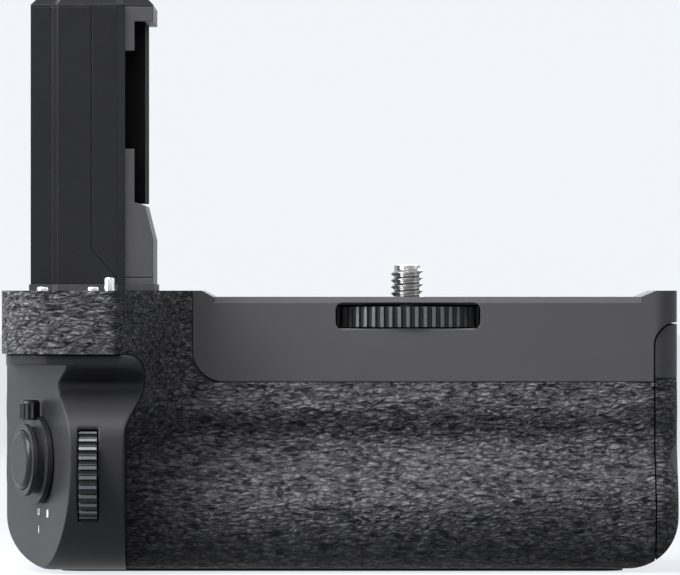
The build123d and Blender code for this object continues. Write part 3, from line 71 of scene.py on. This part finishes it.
# Colours, as linear red, green and blue
BAND_GREY = (0.072, 0.071, 0.077)
COVER_GREY = (0.04, 0.04, 0.043)
PANEL_BLACK = (0.022, 0.022, 0.0235)
STALK_BLACK = (0.009, 0.009, 0.0096)
HOLDER_GREY = (0.062, 0.062, 0.066)
LEATHER_TOP = (0.19, 0.188, 0.198)
# Painted shade for the leather's creases
LEATHER_CREASE_SHADE = (0.005, 0.005, 0.0055)
RUBBER_BLACK = (0.016, 0.016, 0.017)
ANODISED_BLACK = (0.022, 0.022, 0.024)
STEEL = (0.4, 0.395, 0.39)
SHEET_STEEL = (0.36, 0.36, 0.37)
CHROME = (0.82, 0.82, 0.83)
GOLD = (0.83, 0.62, 0.28)
MASK_GREEN = (0.012, 0.075, 0.035)
TRACE_GREEN = (0.03, 0.14, 0.07)
SCREW_BLACK = (0.03, 0.03, 0.032)
MARK_WHITE = (0.8, 0.8, 0.8)
# Near-black colour of the holder pad, painted shade for its pocket
PAINTED_SHADE_BLACK = (0.003, 0.003, 0.003)

# Knurled pieces, in millimetres: the axes they lie on, their radii, and the radius below which the
# grooves get painted shade
SIDEWAYS, UPRIGHT = 0, 2
FRONT_DIAL = (0, -35.8, 19.6)
REAR_DIAL = (0, 14.3, 18.0)
WHEEL_RADIUS = 21.0
WHEEL_GROOVE = 20.75
DIAL_RADIUS = 10.3
DIAL_GROOVE = 10.1


class Finish:
    """A material under way: its shader and the nodes that vary it over the piece."""

    def __init__(self, name, colour, roughness, metallic=0.0):
        self.material = bpy.data.materials.new(name)
        self.material.use_nodes = True
        self.tree = self.material.node_tree
        self.shader = self.tree.nodes["Principled BSDF"]
        self.set("Base Color", (*colour, 1))
        self.set("Roughness", roughness)
        self.set("Metallic", metallic)
        place = self.tree.nodes.new("ShaderNodeTexCoord")
        self.place = place.outputs["Object"]

    def set(self, socket, value):
        self.shader.inputs[socket].default_value = value

    def link(self, source, target):
        self.tree.links.new(source, target)

    def stretched(self, per_mm, stretch=(1, 1, 1), turn=(0, 0, 0)):
        """Object coordinates in millimetres times a rate, drawn out or squeezed along the axes."""
        mapping = self.tree.nodes.new("ShaderNodeMapping")
        mapping.inputs["Scale"].default_value = [per_mm / MM * share for share in stretch]
        mapping.inputs["Rotation"].default_value = turn
        self.link(self.place, mapping.inputs["Vector"])
        return mapping.outputs["Vector"]

    def noise(self, vector, detail, roughness=0.5, distortion=0.0):
        node = self.tree.nodes.new("ShaderNodeTexNoise")
        node.inputs["Scale"].default_value = 1
        node.inputs["Detail"].default_value = detail
        node.inputs["Roughness"].default_value = roughness
        node.inputs["Distortion"].default_value = distortion
        self.link(vector, node.inputs["Vector"])
        return node.outputs["Fac"]

    def cells(self, vector, feature="F1", randomness=1.0):
        node = self.tree.nodes.new("ShaderNodeTexVoronoi")
        node.feature = feature
        node.inputs["Scale"].default_value = 1
        node.inputs["Randomness"].default_value = randomness
        self.link(vector, node.inputs["Vector"])
        return node.outputs["Distance"]

    def waves(self, vector, distortion, direction):
        node = self.tree.nodes.new("ShaderNodeTexWave")
        node.bands_direction = direction
        node.inputs["Scale"].default_value = 1
        node.inputs["Distortion"].default_value = distortion
        self.link(vector, node.inputs["Vector"])
        return node.outputs["Fac"]

    def span(self, value, low, high, to_low=0.0, to_high=1.0):
        node = self.tree.nodes.new("ShaderNodeMapRange")
        ends = {"From Min": low, "From Max": high, "To Min": to_low, "To Max": to_high}
        for socket, number in ends.items():
            node.inputs[socket].default_value = number
        self.link(value, node.inputs["Value"])
        return node.outputs["Result"]

    def sum(self, first, second, kind="ADD"):
        node = self.tree.nodes.new("ShaderNodeMath")
        node.operation = kind
        for socket, value in zip(node.inputs, (first, second)):
            if isinstance(value, (int, float)):
                socket.default_value = value
            else:
                self.link(value, socket)
        return node.outputs[0]

    def blend(self, share, low, high):
        """Colour from low to high by a share; either may be a socket."""
        node = self.tree.nodes.new("ShaderNodeMix")
        node.data_type = "RGBA"
        self.link(share, node.inputs["Factor"])
        for socket, colour in ((node.inputs[6], low), (node.inputs[7], high)):
            if isinstance(colour, tuple):
                socket.default_value = (*colour, 1)
            else:
                self.link(colour, socket)
        return node.outputs[2]

    def colour(self, socket):
        self.link(socket, self.shader.inputs["Base Color"])

    def gloss(self, value, low, high):
        """Roughness between two values, following a pattern from 0 to 1."""
        self.link(self.span(value, 0, 1, low, high), self.shader.inputs["Roughness"])

    def relief(self, height, depth_mm, edge_mm=0.0):
        """Surface relief of a depth, over edges that look rounded by a radius."""
        bump = self.tree.nodes.new("ShaderNodeBump")
        bump.inputs["Strength"].default_value = 1
        bump.inputs["Distance"].default_value = depth_mm * MM
        self.link(height, bump.inputs["Height"])
        if edge_mm:
            self.link(self.rounded(edge_mm), bump.inputs["Normal"])
        self.link(bump.outputs["Normal"], self.shader.inputs["Normal"])

    def rounded(self, edge_mm):
        """Normal with the corners rounded by a radius."""
        bevel = self.tree.nodes.new("ShaderNodeBevel")
        bevel.samples = 4
        bevel.inputs["Radius"].default_value = edge_mm * MM
        return bevel.outputs["Normal"]

    def worn(self, colour, bright, edge_mm=0.25):
        """Colour that turns brighter where a hand rubs the edges."""
        geometry = self.tree.nodes.new("ShaderNodeNewGeometry")
        dot = self.tree.nodes.new("ShaderNodeVectorMath")
        dot.operation = "DOT_PRODUCT"
        self.link(self.rounded(edge_mm), dot.inputs[0])
        self.link(geometry.outputs["Normal"], dot.inputs[1])
        edge = self.span(dot.outputs["Value"], 0.995, 0.8)
        patchy = self.span(self.noise(self.stretched(0.6), 3), 0.35, 0.65)
        return self.blend(self.sum(edge, patchy, "MULTIPLY"), colour, bright)


def lighter(colour, share):
    """The same colour at another brightness."""
    return tuple(channel * share for channel in colour)


def painted_metal(name, colour, roughness=0.42, grain_mm=0.012, speckle=0.12):
    """Satin paint with a fine dry grain over cast metal."""
    made = Finish(name, colour, roughness)
    made.set("Specular IOR Level", 0.18)
    grain = made.noise(made.stretched(5.5), 3, 0.65)
    cloud = made.noise(made.stretched(0.09), 2)
    dull, pale = lighter(colour, 1 - speckle / 2), lighter(colour, 1 + speckle / 2)
    mottled = made.blend(made.span(cloud, 0.3, 0.7), dull, pale)
    speckled = made.blend(made.span(grain, 0.35, 0.7), mottled, lighter(colour, 1 + speckle))
    made.colour(made.worn(speckled, lighter(colour, 1.7)))
    made.gloss(made.span(grain, 0.3, 0.7), roughness - 0.05, roughness + 0.1)
    made.relief(grain, grain_mm, 0.22)
    return made.material


def moulded_plastic(name, colour, roughness=0.5, grain_mm=0.02, edge_mm=0.2, shine=0.15):
    """Moulded plastic with the fine pits of a spark-eroded mould."""
    made = Finish(name, colour, roughness)
    made.set("Specular IOR Level", shine)
    pits = made.cells(made.stretched(6.5), "SMOOTH_F1")
    cloud = made.noise(made.stretched(0.12), 3)
    toned = made.blend(made.span(cloud, 0.3, 0.7), lighter(colour, 0.93), lighter(colour, 1.07))
    made.colour(made.worn(toned, lighter(colour, 1.9), edge_mm))
    made.gloss(made.span(pits, 0.1, 0.7), roughness - 0.06, roughness + 0.08)
    made.relief(pits, grain_mm, edge_mm)
    return made.material


def grained_leather(name):
    """Soft rubber skin with long wrinkled grains, its crests in the skin's colour and painted shade in
    the creases.
    """
    made = Finish(name, LEATHER_TOP, 0.5)
    made.set("Specular IOR Level", 0.1)
    warp = made.tree.nodes.new("ShaderNodeTexNoise")
    warp.inputs["Scale"].default_value = 1
    warp.inputs["Detail"].default_value = 3
    made.link(made.stretched(0.55, (0.8, 1, 1.2)), warp.inputs["Vector"])
    bent = made.tree.nodes.new("ShaderNodeVectorMath")
    bent.operation = "MULTIPLY_ADD"
    bent.inputs[1].default_value = (1.2, 1.2, 1.2)
    made.link(warp.outputs["Color"], bent.inputs[0])
    slant = (radians(6), radians(-12), radians(5))
    made.link(made.stretched(0.9, (0.55, 0.8, 1.3), slant), bent.inputs[2])
    pebbles = made.span(made.cells(bent.outputs["Vector"], "DISTANCE_TO_EDGE"), 0.0, 0.36)
    wrinkles = made.noise(made.stretched(0.95, (0.5, 0.75, 1.4), (0, radians(-12), 0)), 4, 0.55, 0.8)
    fine = made.noise(made.stretched(3.4, (0.8, 1, 1.2)), 3, 0.6)
    height = made.sum(made.sum(pebbles, 0.5, "MULTIPLY"), made.sum(wrinkles, 1.5, "MULTIPLY"))
    height = made.sum(height, made.sum(fine, 0.3, "MULTIPLY"))
    # Painted shade: the creases between the grains are coloured near-black; the same mask also sets the
    # roughness
    crease_shade = made.sum(made.span(pebbles, 0.0, 0.8, 0.3), made.span(wrinkles, 0.36, 0.64), "MULTIPLY")
    made.colour(made.blend(crease_shade, LEATHER_CREASE_SHADE, LEATHER_TOP))
    made.gloss(crease_shade, 0.65, 0.4)
    made.relief(height, 0.42)
    return made.material


def turned_metal(name, colour, roughness=0.24, rings_per_mm=4.0, direction="Z"):
    """Bright metal with the fine rings that a lathe leaves."""
    made = Finish(name, colour, roughness, 1.0)
    rings = made.waves(made.stretched(rings_per_mm), 1.5, direction)
    smear = made.noise(made.stretched(0.8), 3)
    made.colour(made.blend(made.span(smear, 0.3, 0.7), lighter(colour, 0.82), lighter(colour, 1.08)))
    made.gloss(made.sum(rings, smear, "MULTIPLY"), roughness - 0.06, roughness + 0.16)
    made.relief(rings, 0.004, 0.08)
    return made.material


def sheet_metal(name, colour=SHEET_STEEL, roughness=0.38):
    """Pressed sheet with its rolling grain."""
    made = Finish(name, colour, roughness, 1.0)
    grain = made.noise(made.stretched(2.2, (0.12, 3, 3)), 4, 0.7)
    made.colour(made.blend(made.span(grain, 0.3, 0.7), lighter(colour, 0.8), lighter(colour, 1.15)))
    made.gloss(grain, roughness - 0.1, roughness + 0.18)
    made.relief(grain, 0.006, 0.12)
    return made.material


def anodised(name, colour=ANODISED_BLACK, roughness=0.34):
    """Machined metal, anodised black, with its corners rubbed a little brighter."""
    made = Finish(name, colour, roughness, 0.15)
    made.set("Specular IOR Level", 0.25)
    tool = made.noise(made.stretched(3.0, (1, 0.3, 1)), 3, 0.6)
    toned = made.blend(made.span(tool, 0.3, 0.7), lighter(colour, 0.85), lighter(colour, 1.2))
    made.colour(made.worn(toned, lighter(colour, 3.2), 0.14))
    made.gloss(tool, roughness - 0.07, roughness + 0.12)
    made.relief(tool, 0.005, 0.14)
    return made.material


def knurled(name, centre, along, crest_mm, root_mm):
    """Black metal round an axis, with a painted highlight on its crests and painted shade in its
    grooves.
    """
    made = Finish(name, ANODISED_BLACK, 0.36, 0.4)
    flat = made.tree.nodes.new("ShaderNodeVectorMath")
    flat.operation = "MULTIPLY_ADD"
    keep = [0 if axis == along else 1 for axis in range(3)]
    flat.inputs[1].default_value = keep
    flat.inputs[2].default_value = [-place * MM * share for place, share in zip(centre, keep)]
    made.link(made.place, flat.inputs[0])
    reach = made.tree.nodes.new("ShaderNodeVectorMath")
    reach.operation = "LENGTH"
    made.link(flat.outputs["Vector"], reach.inputs[0])
    # Painted light: colour near-black in the grooves as shade, and bright on the crests as a highlight,
    # a little uneven
    crest = made.span(reach.outputs["Value"], root_mm * MM, crest_mm * MM)
    tool = made.noise(made.stretched(4.0, (1, 1, 0.4)), 3, 0.6)
    crest_highlight = made.sum(crest, made.span(tool, 0.2, 0.7, 0.6), "MULTIPLY")
    made.colour(made.blend(crest_highlight, lighter(ANODISED_BLACK, 0.25), lighter(ANODISED_BLACK, 6.0)))
    made.gloss(tool, 0.26, 0.46)
    made.relief(tool, 0.006, 0.1)
    return made.material


def soft_rubber(name, colour=RUBBER_BLACK, roughness=0.72):
    """Matt rubber with a dusty bloom."""
    made = Finish(name, colour, roughness)
    bloom = made.noise(made.stretched(0.5), 4, 0.6)
    pores = made.cells(made.stretched(4.0))
    made.colour(made.blend(made.span(bloom, 0.4, 0.75), colour, lighter(colour, 1.9)))
    made.gloss(bloom, roughness - 0.1, roughness + 0.12)
    made.relief(pores, 0.02, 0.15)
    return made.material


def gold_plate(name):
    """Gold-plated contact with light wiping marks."""
    made = Finish(name, GOLD, 0.22, 1.0)
    wipe = made.noise(made.stretched(3.0, (0.3, 0.3, 3)), 3, 0.6)
    made.colour(made.blend(made.span(wipe, 0.35, 0.7), GOLD, lighter(GOLD, 0.72)))
    made.gloss(wipe, 0.12, 0.4)
    made.relief(wipe, 0.003, 0.08)
    return made.material


def circuit_board(name):
    """Green solder mask with copper tracks under it and small bright pads."""
    made = Finish(name, MASK_GREEN, 0.3)
    tracks = made.span(made.waves(made.stretched(0.35, (1, 1, 1)), 9.0, "X"), 0.44, 0.56)
    pads = made.span(made.cells(made.stretched(0.45), "F1", 0.4), 0.16, 0.14)
    mask = made.blend(tracks, MASK_GREEN, TRACE_GREEN)
    made.colour(made.blend(pads, mask, lighter(STEEL, 0.9)))
    made.gloss(pads, 0.32, 0.2)
    made.relief(tracks, 0.03, 0.1)
    return made.material


def painted_shade_pad(name):
    """Near-black pad with a short nap, painted shade at the back of the holder's pocket."""
    made = Finish(name, PAINTED_SHADE_BLACK, 0.95)
    nap = made.noise(made.stretched(7.0), 4, 0.7)
    made.colour(made.blend(made.span(nap, 0.4, 0.8), PAINTED_SHADE_BLACK, lighter(PAINTED_SHADE_BLACK, 2.5)))
    made.set("Specular IOR Level", 0.1)
    made.relief(nap, 0.06)
    return made.material


def mark_paint(name):
    """White paint filled into a mark, a little uneven."""
    made = Finish(name, MARK_WHITE, 0.5)
    patchy = made.noise(made.stretched(4.0), 3)
    made.colour(made.blend(made.span(patchy, 0.3, 0.7), lighter(MARK_WHITE, 0.85), MARK_WHITE))
    made.relief(patchy, 0.004)
    return made.material


band_paint = painted_metal("band_paint", BAND_GREY)
cover_paint = painted_metal("cover_paint", COVER_GREY, 0.48)
leather = grained_leather("grained_leather")
panel_plastic = moulded_plastic("panel_plastic", PANEL_BLACK, 0.34, 0.006, 0.7, 0.14)
cover_plastic = moulded_plastic("cover_plastic", COVER_GREY, 0.5, 0.02)
inner_plastic = moulded_plastic("inner_plastic", lighter(PANEL_BLACK, 0.8), 0.55, 0.02, 0.15)
stalk_plastic = moulded_plastic("stalk_plastic", STALK_BLACK, 0.28, 0.01, 0.3, 0.22)
holder_plastic = moulded_plastic("holder_plastic", HOLDER_GREY, 0.42, 0.012, 0.25)
button_plastic = moulded_plastic("button_plastic", lighter(PANEL_BLACK, 1.1), 0.38, 0.006, 0.2)
black_anodised = anodised("black_anodised")
wheel_knurl = knurled("wheel_knurl", (0, 0, 0), UPRIGHT, WHEEL_RADIUS, WHEEL_GROOVE)
front_dial_knurl = knurled("front_dial_knurl", FRONT_DIAL, SIDEWAYS, DIAL_RADIUS, DIAL_GROOVE)
rear_dial_knurl = knurled("rear_dial_knurl", REAR_DIAL, SIDEWAYS, DIAL_RADIUS, DIAL_GROOVE)
shutter_anodised = anodised("shutter_anodised", lighter(ANODISED_BLACK, 0.45), 0.3)
rubber = soft_rubber("soft_rubber")
screw_steel = turned_metal("screw_steel", STEEL)
pin_chrome = turned_metal("pin_chrome", CHROME, 0.12, 3.0)
axle_steel = turned_metal("axle_steel", STEEL, 0.26, 3.0, "X")
steel_sheet = sheet_metal("steel_sheet")
gold = gold_plate("contact_gold")
board_mask = circuit_board("board_mask")
black_screw = turned_metal("black_screw", lighter(SCREW_BLACK, 2.0), 0.35, 3.0, "X")
shade_pad = painted_shade_pad("painted_shade_pad")
white_mark = mark_paint("white_mark")

node_finishes = {
    band_paint: ["top_chassis", "tray_end_cover"],
    cover_paint: ["rear_cover", "bottom_plate"],
    leather: ["front_leather", "end_cover_leather", "thumb_rest"],
    panel_plastic: ["control_panel"],
    cover_plastic: ["front_cover", "lock_knob"],
    inner_plastic: ["battery_bay", "contact_block", "battery_tray", "board_connectors", "selector_base"],
    stalk_plastic: ["stalk_body", "stalk_cap"],
    holder_plastic: ["cover_holder"],
    button_plastic: ["focus_button", "hold_button", "custom_button_1", "custom_button_2"],
    black_anodised: [
        "power_lever", "shutter_collar", "finger_tab", "stalk_latch", "shutter_switch",
        "rear_switches", "side_switches",
    ],
    shutter_anodised: ["shutter_button"],
    wheel_knurl: ["attachment_wheel"],
    front_dial_knurl: ["front_dial"],
    rear_dial_knurl: ["rear_dial"],
    # The holder pad carries painted shade for the holder's pocket
    shade_pad: ["holder_pad"],
    rubber: ["foot_ring", "stalk_gasket", "selector_cap"],
    screw_steel: ["tripod_socket", "selector_stick"],
    pin_chrome: ["locating_pin", "rim_studs"],
    axle_steel: ["front_dial_axle", "rear_dial_axle"],
    steel_sheet: [
        "lock_dog", "lock_striker", "screw_bridge", "front_dial_bracket", "rear_dial_bracket",
        "selector_yoke",
    ],
    gold: ["battery_contacts", "tray_contacts", "stalk_contacts"],
    board_mask: ["stalk_board", "main_board", "side_board"],
    black_screw: ["deck_fasteners", "bottom_fasteners", "stalk_fasteners", "tray_fasteners"],
}
for material, names in node_finishes.items():
    for name in names:
        mesh = nodes[name].data
        mesh.materials.clear()
        mesh.materials.append(material)


def finished(name, shape, material, body):
    """A new piece from a bmesh, in its finish, riding on a body."""
    mesh = bpy.data.meshes.new(name)
    shape.to_mesh(mesh)
    shape.free()
    mesh.materials.append(material)
    piece = bpy.data.objects.new(name, mesh)
    bpy.context.scene.collection.objects.link(piece)
    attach(piece, body)
    return piece


def shade_by_angle(piece):
    """Smooth shading that keeps edges sharper than an angle."""
    mesh = piece.data
    mesh.polygons.foreach_set("use_smooth", [True] * len(mesh.polygons))
    mesh.set_sharp_from_angle(angle=SHARP_ANGLE)


# Camera screw with its thread
SCREW_PITCH = 1.27 * MM
SCREW_OUTER = 3.175 * MM
SCREW_ROOT = 2.55 * MM
SCREW_POINT = 0.75 * MM
SCREW_ROUND = 0.25 * MM
THREAD_FLAT = 0.12 * MM
THREAD_STEPS = 48


def camera_screw():
    low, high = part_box("attachment_screw")
    wheel_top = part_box("attachment_wheel")[1].z
    shape = bmesh.new()
    bmesh.ops.create_cone(
        shape, cap_ends=True, segments=THREAD_STEPS, radius1=SCREW_ROOT, radius2=SCREW_ROOT,
        depth=high.z - low.z, matrix=Matrix.Translation((0, 0, (low.z + high.z) / 2)),
    )
    top = [edge for edge in shape.edges if all(vert.co.z > high.z - MM / 10 for vert in edge.verts)]
    bmesh.ops.bevel(
        shape, geom=top, offset=SCREW_ROUND, segments=2, profile=0.5, affect="EDGES", material=-1,
    )
    # One tooth, wound up the shank
    start = wheel_top
    tooth = [
        shape.verts.new((SCREW_ROOT - THREAD_FLAT, 0, start)),
        shape.verts.new((SCREW_OUTER, 0, start + SCREW_PITCH / 2 - THREAD_FLAT / 2)),
        shape.verts.new((SCREW_OUTER, 0, start + SCREW_PITCH / 2 + THREAD_FLAT / 2)),
        shape.verts.new((SCREW_ROOT - THREAD_FLAT, 0, start + SCREW_PITCH)),
    ]
    face = shape.faces.new(tooth)
    turns = (high.z - start) / SCREW_PITCH - 1
    steps = int(turns * THREAD_STEPS)
    bmesh.ops.spin(
        shape, geom=[face, *tooth, *face.edges], cent=(0, 0, 0), axis=(0, 0, 1),
        dvec=(0, 0, SCREW_PITCH / THREAD_STEPS), angle=steps * 2 * pi / THREAD_STEPS, steps=steps,
        use_duplicate=False,
    )
    # The point tapers, so the last turn runs out
    for vert in shape.verts:
        reach = vert.co.xy.length
        limit = SCREW_ROOT + max(0, high.z - vert.co.z) * (SCREW_OUTER - SCREW_ROOT) / SCREW_POINT
        if reach > limit:
            vert.co.x *= limit / reach
            vert.co.y *= limit / reach
    bmesh.ops.recalc_face_normals(shape, faces=shape.faces)
    piece = finished("camera_screw_thread", shape, screw_steel, "attachment")
    shade_by_angle(piece)
    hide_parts("attachment_screw")


camera_screw()

# Painted marks beside the shutter button
FACET_ANGLE = radians(20)
SHUTTER = Vector((-70.4, -27.0, 21.7)) * MM
MARK_SINK = 0.05 * MM
MARK_PROUD = 0.03 * MM
MARK_ROUND = 0.3
MARK_STEPS = 28
facet = Matrix((
    (sin(FACET_ANGLE), 0, -cos(FACET_ANGLE)),
    (-cos(FACET_ANGLE), 0, -sin(FACET_ANGLE)),
    (0, 1, 0),
)).to_4x4()
facet.translation = SHUTTER


def painted_bar(shape, across, up, width, height):
    """Thin bar of paint on the facet, its corners rounded."""
    thick = MARK_SINK + MARK_PROUD
    place = facet @ Matrix.Translation((across, up, MARK_PROUD - thick / 2))
    block = Matrix.Diagonal((width, height, thick, 1))
    bar = bmesh.ops.create_cube(shape, size=1, matrix=place @ block)
    edges = {edge for vert in bar["verts"] for edge in vert.link_edges}
    upright = [edge for edge in edges if abs(edge.calc_length() - thick) < thick / 10]
    bmesh.ops.bevel(
        shape, geom=upright, offset=min(width, height) * MARK_ROUND, segments=3, profile=0.5,
        affect="EDGES", material=-1,
    )


def painted_ring(shape, across, up, radius, width):
    """Thin ring of paint on the facet."""
    place = facet @ Matrix.Translation((across, up, 0))
    inner = radius - width
    section = ((inner, -MARK_SINK), (radius, -MARK_SINK), (radius, MARK_PROUD), (inner, MARK_PROUD))
    corners = [shape.verts.new(place @ Vector((reach, 0, level))) for reach, level in section]
    face = shape.faces.new(corners)
    axis = place.to_3x3() @ Vector((0, 0, 1))
    bmesh.ops.spin(
        shape, geom=[face, *corners, *face.edges], cent=place.translation, axis=axis, angle=2 * pi,
        steps=MARK_STEPS, use_merge=True, use_duplicate=False,
    )
    leftover = [
        loose for loose in shape.faces
        if abs(loose.normal.dot(axis)) < 0.01 and all(vert in corners for vert in loose.verts)
    ]
    bmesh.ops.delete(shape, geom=leftover, context="FACES_ONLY")


def lever_marks():
    shape = bmesh.new()
    painted_bar(shape, 4.1 * MM, -10.2 * MM, 0.9 * MM, 1.5 * MM)
    painted_ring(shape, -1.3 * MM, -10.0 * MM, 0.65 * MM, 0.22 * MM)
    painted_bar(shape, -1.3 * MM, -13.4 * MM, 0.3 * MM, 1.4 * MM)
    bmesh.ops.recalc_face_normals(shape, faces=shape.faces)
    piece = finished("lever_marks", shape, white_mark, "grip")
    shade_by_angle(piece)


lever_marks()

# Camera at the photograph's place: level, straight on, and far enough back to flatten the view
PHOTO_WIDTH_MM = 130.83
CAMERA_DISTANCE = 1.6
VIEW_CENTRE = Vector((-13.1, -20.2, 54.7)) * MM
SENSOR = 36.0
camera_data = bpy.data.cameras.new("camera")
camera_data.sensor_width = SENSOR
camera_data.lens = SENSOR * CAMERA_DISTANCE / (PHOTO_WIDTH_MM * MM)
camera = bpy.data.objects.new("camera", camera_data)
bpy.context.scene.collection.objects.link(camera)
camera.location = VIEW_CENTRE + Vector((0, -CAMERA_DISTANCE, 0))
camera.rotation_euler = (pi / 2, 0, 0)
camera_data.clip_start = 0.05
camera_data.clip_end = 60
bpy.context.scene.camera = camera

# Pale floor and surroundings
PALE = (0.886, 0.914, 0.955)
FLOOR_RADIUS = 8.0
FLOOR_BOUNCE = 0.15
FLOOR_GLOW = 0.85
WORLD_LIGHT = 0.05
LAMP_AIM = (-0.013, -0.01, 0.045)
LAMPS = (
    ("left_light", (-0.36, -0.2, 0.3), (0.2, 0.4), 4.6),
    ("top_light", (-0.2, -0.36, 0.62), (0.4, 0.25), 3.4),
    ("right_light", (0.75, -0.1, 0.45), (0.3, 0.8), 1.2),
    ("edge_light", (-0.7, 0.0, 0.25), (0.1, 0.5), 1),
    ("back_light", (0.2, 0.9, 0.6), (0.8, 0.5), 6),
)


def pale_floor():
    """Floor that looks pale, keeps the grip's shadow and throws little light back up."""
    shape = bmesh.new()
    bmesh.ops.create_circle(shape, cap_ends=True, segments=64, radius=FLOOR_RADIUS)
    mesh = bpy.data.meshes.new("floor")
    shape.to_mesh(mesh)
    shape.free()
    made = Finish("pale_floor", PALE, 0.9)
    made.set("Specular IOR Level", 0.0)
    tree = made.tree
    rays = tree.nodes.new("ShaderNodeLightPath")
    made.colour(made.blend(rays.outputs["Is Diffuse Ray"], PALE, lighter(PALE, FLOOR_BOUNCE)))
    seen = made.sum(rays.outputs["Is Camera Ray"], rays.outputs["Is Glossy Ray"], "MAXIMUM")
    seen = made.sum(seen, rays.outputs["Is Transmission Ray"], "MAXIMUM")
    glow = tree.nodes.new("ShaderNodeEmission")
    glow.inputs["Color"].default_value = (*PALE, 1)
    mix = tree.nodes.new("ShaderNodeMixShader")
    made.link(made.sum(seen, FLOOR_GLOW, "MULTIPLY"), mix.inputs["Fac"])
    made.link(made.shader.outputs["BSDF"], mix.inputs[1])
    made.link(glow.outputs["Emission"], mix.inputs[2])
    made.link(mix.outputs["Shader"], tree.nodes["Material Output"].inputs["Surface"])
    mesh.materials.append(made.material)
    floor = bpy.data.objects.new("floor", mesh)
    bpy.context.scene.collection.objects.link(floor)


def pale_world():
    """White to the camera and in reflections, softer as light."""
    world = bpy.data.worlds.new("studio")
    world.use_nodes = True
    bpy.context.scene.world = world
    tree = world.node_tree
    background = tree.nodes["Background"]
    background.inputs["Color"].default_value = (*PALE, 1)
    rays = tree.nodes.new("ShaderNodeLightPath")
    level = tree.nodes.new("ShaderNodeMapRange")
    level.inputs["To Min"].default_value = 1.0
    level.inputs["To Max"].default_value = WORLD_LIGHT
    tree.links.new(rays.outputs["Is Diffuse Ray"], level.inputs["Value"])
    tree.links.new(level.outputs["Result"], background.inputs["Strength"])


def softbox(name, place, size, power):
    """Rectangular lamp at a place, turned to the grip."""
    data = bpy.data.lights.new(name, "AREA")
    data.shape = "RECTANGLE"
    data.size, data.size_y = size
    data.energy = power
    lamp = bpy.data.objects.new(name, data)
    bpy.context.scene.collection.objects.link(lamp)
    lamp.location = place
    lamp.rotation_mode = "QUATERNION"
    lamp.rotation_quaternion = (Vector(LAMP_AIM) - Vector(place)).to_track_quat("-Z", "Y")


pale_floor()
pale_world()
for lamp_values in LAMPS:
    softbox(*lamp_values)

bpy.context.scene.view_settings.view_transform = "Standard"
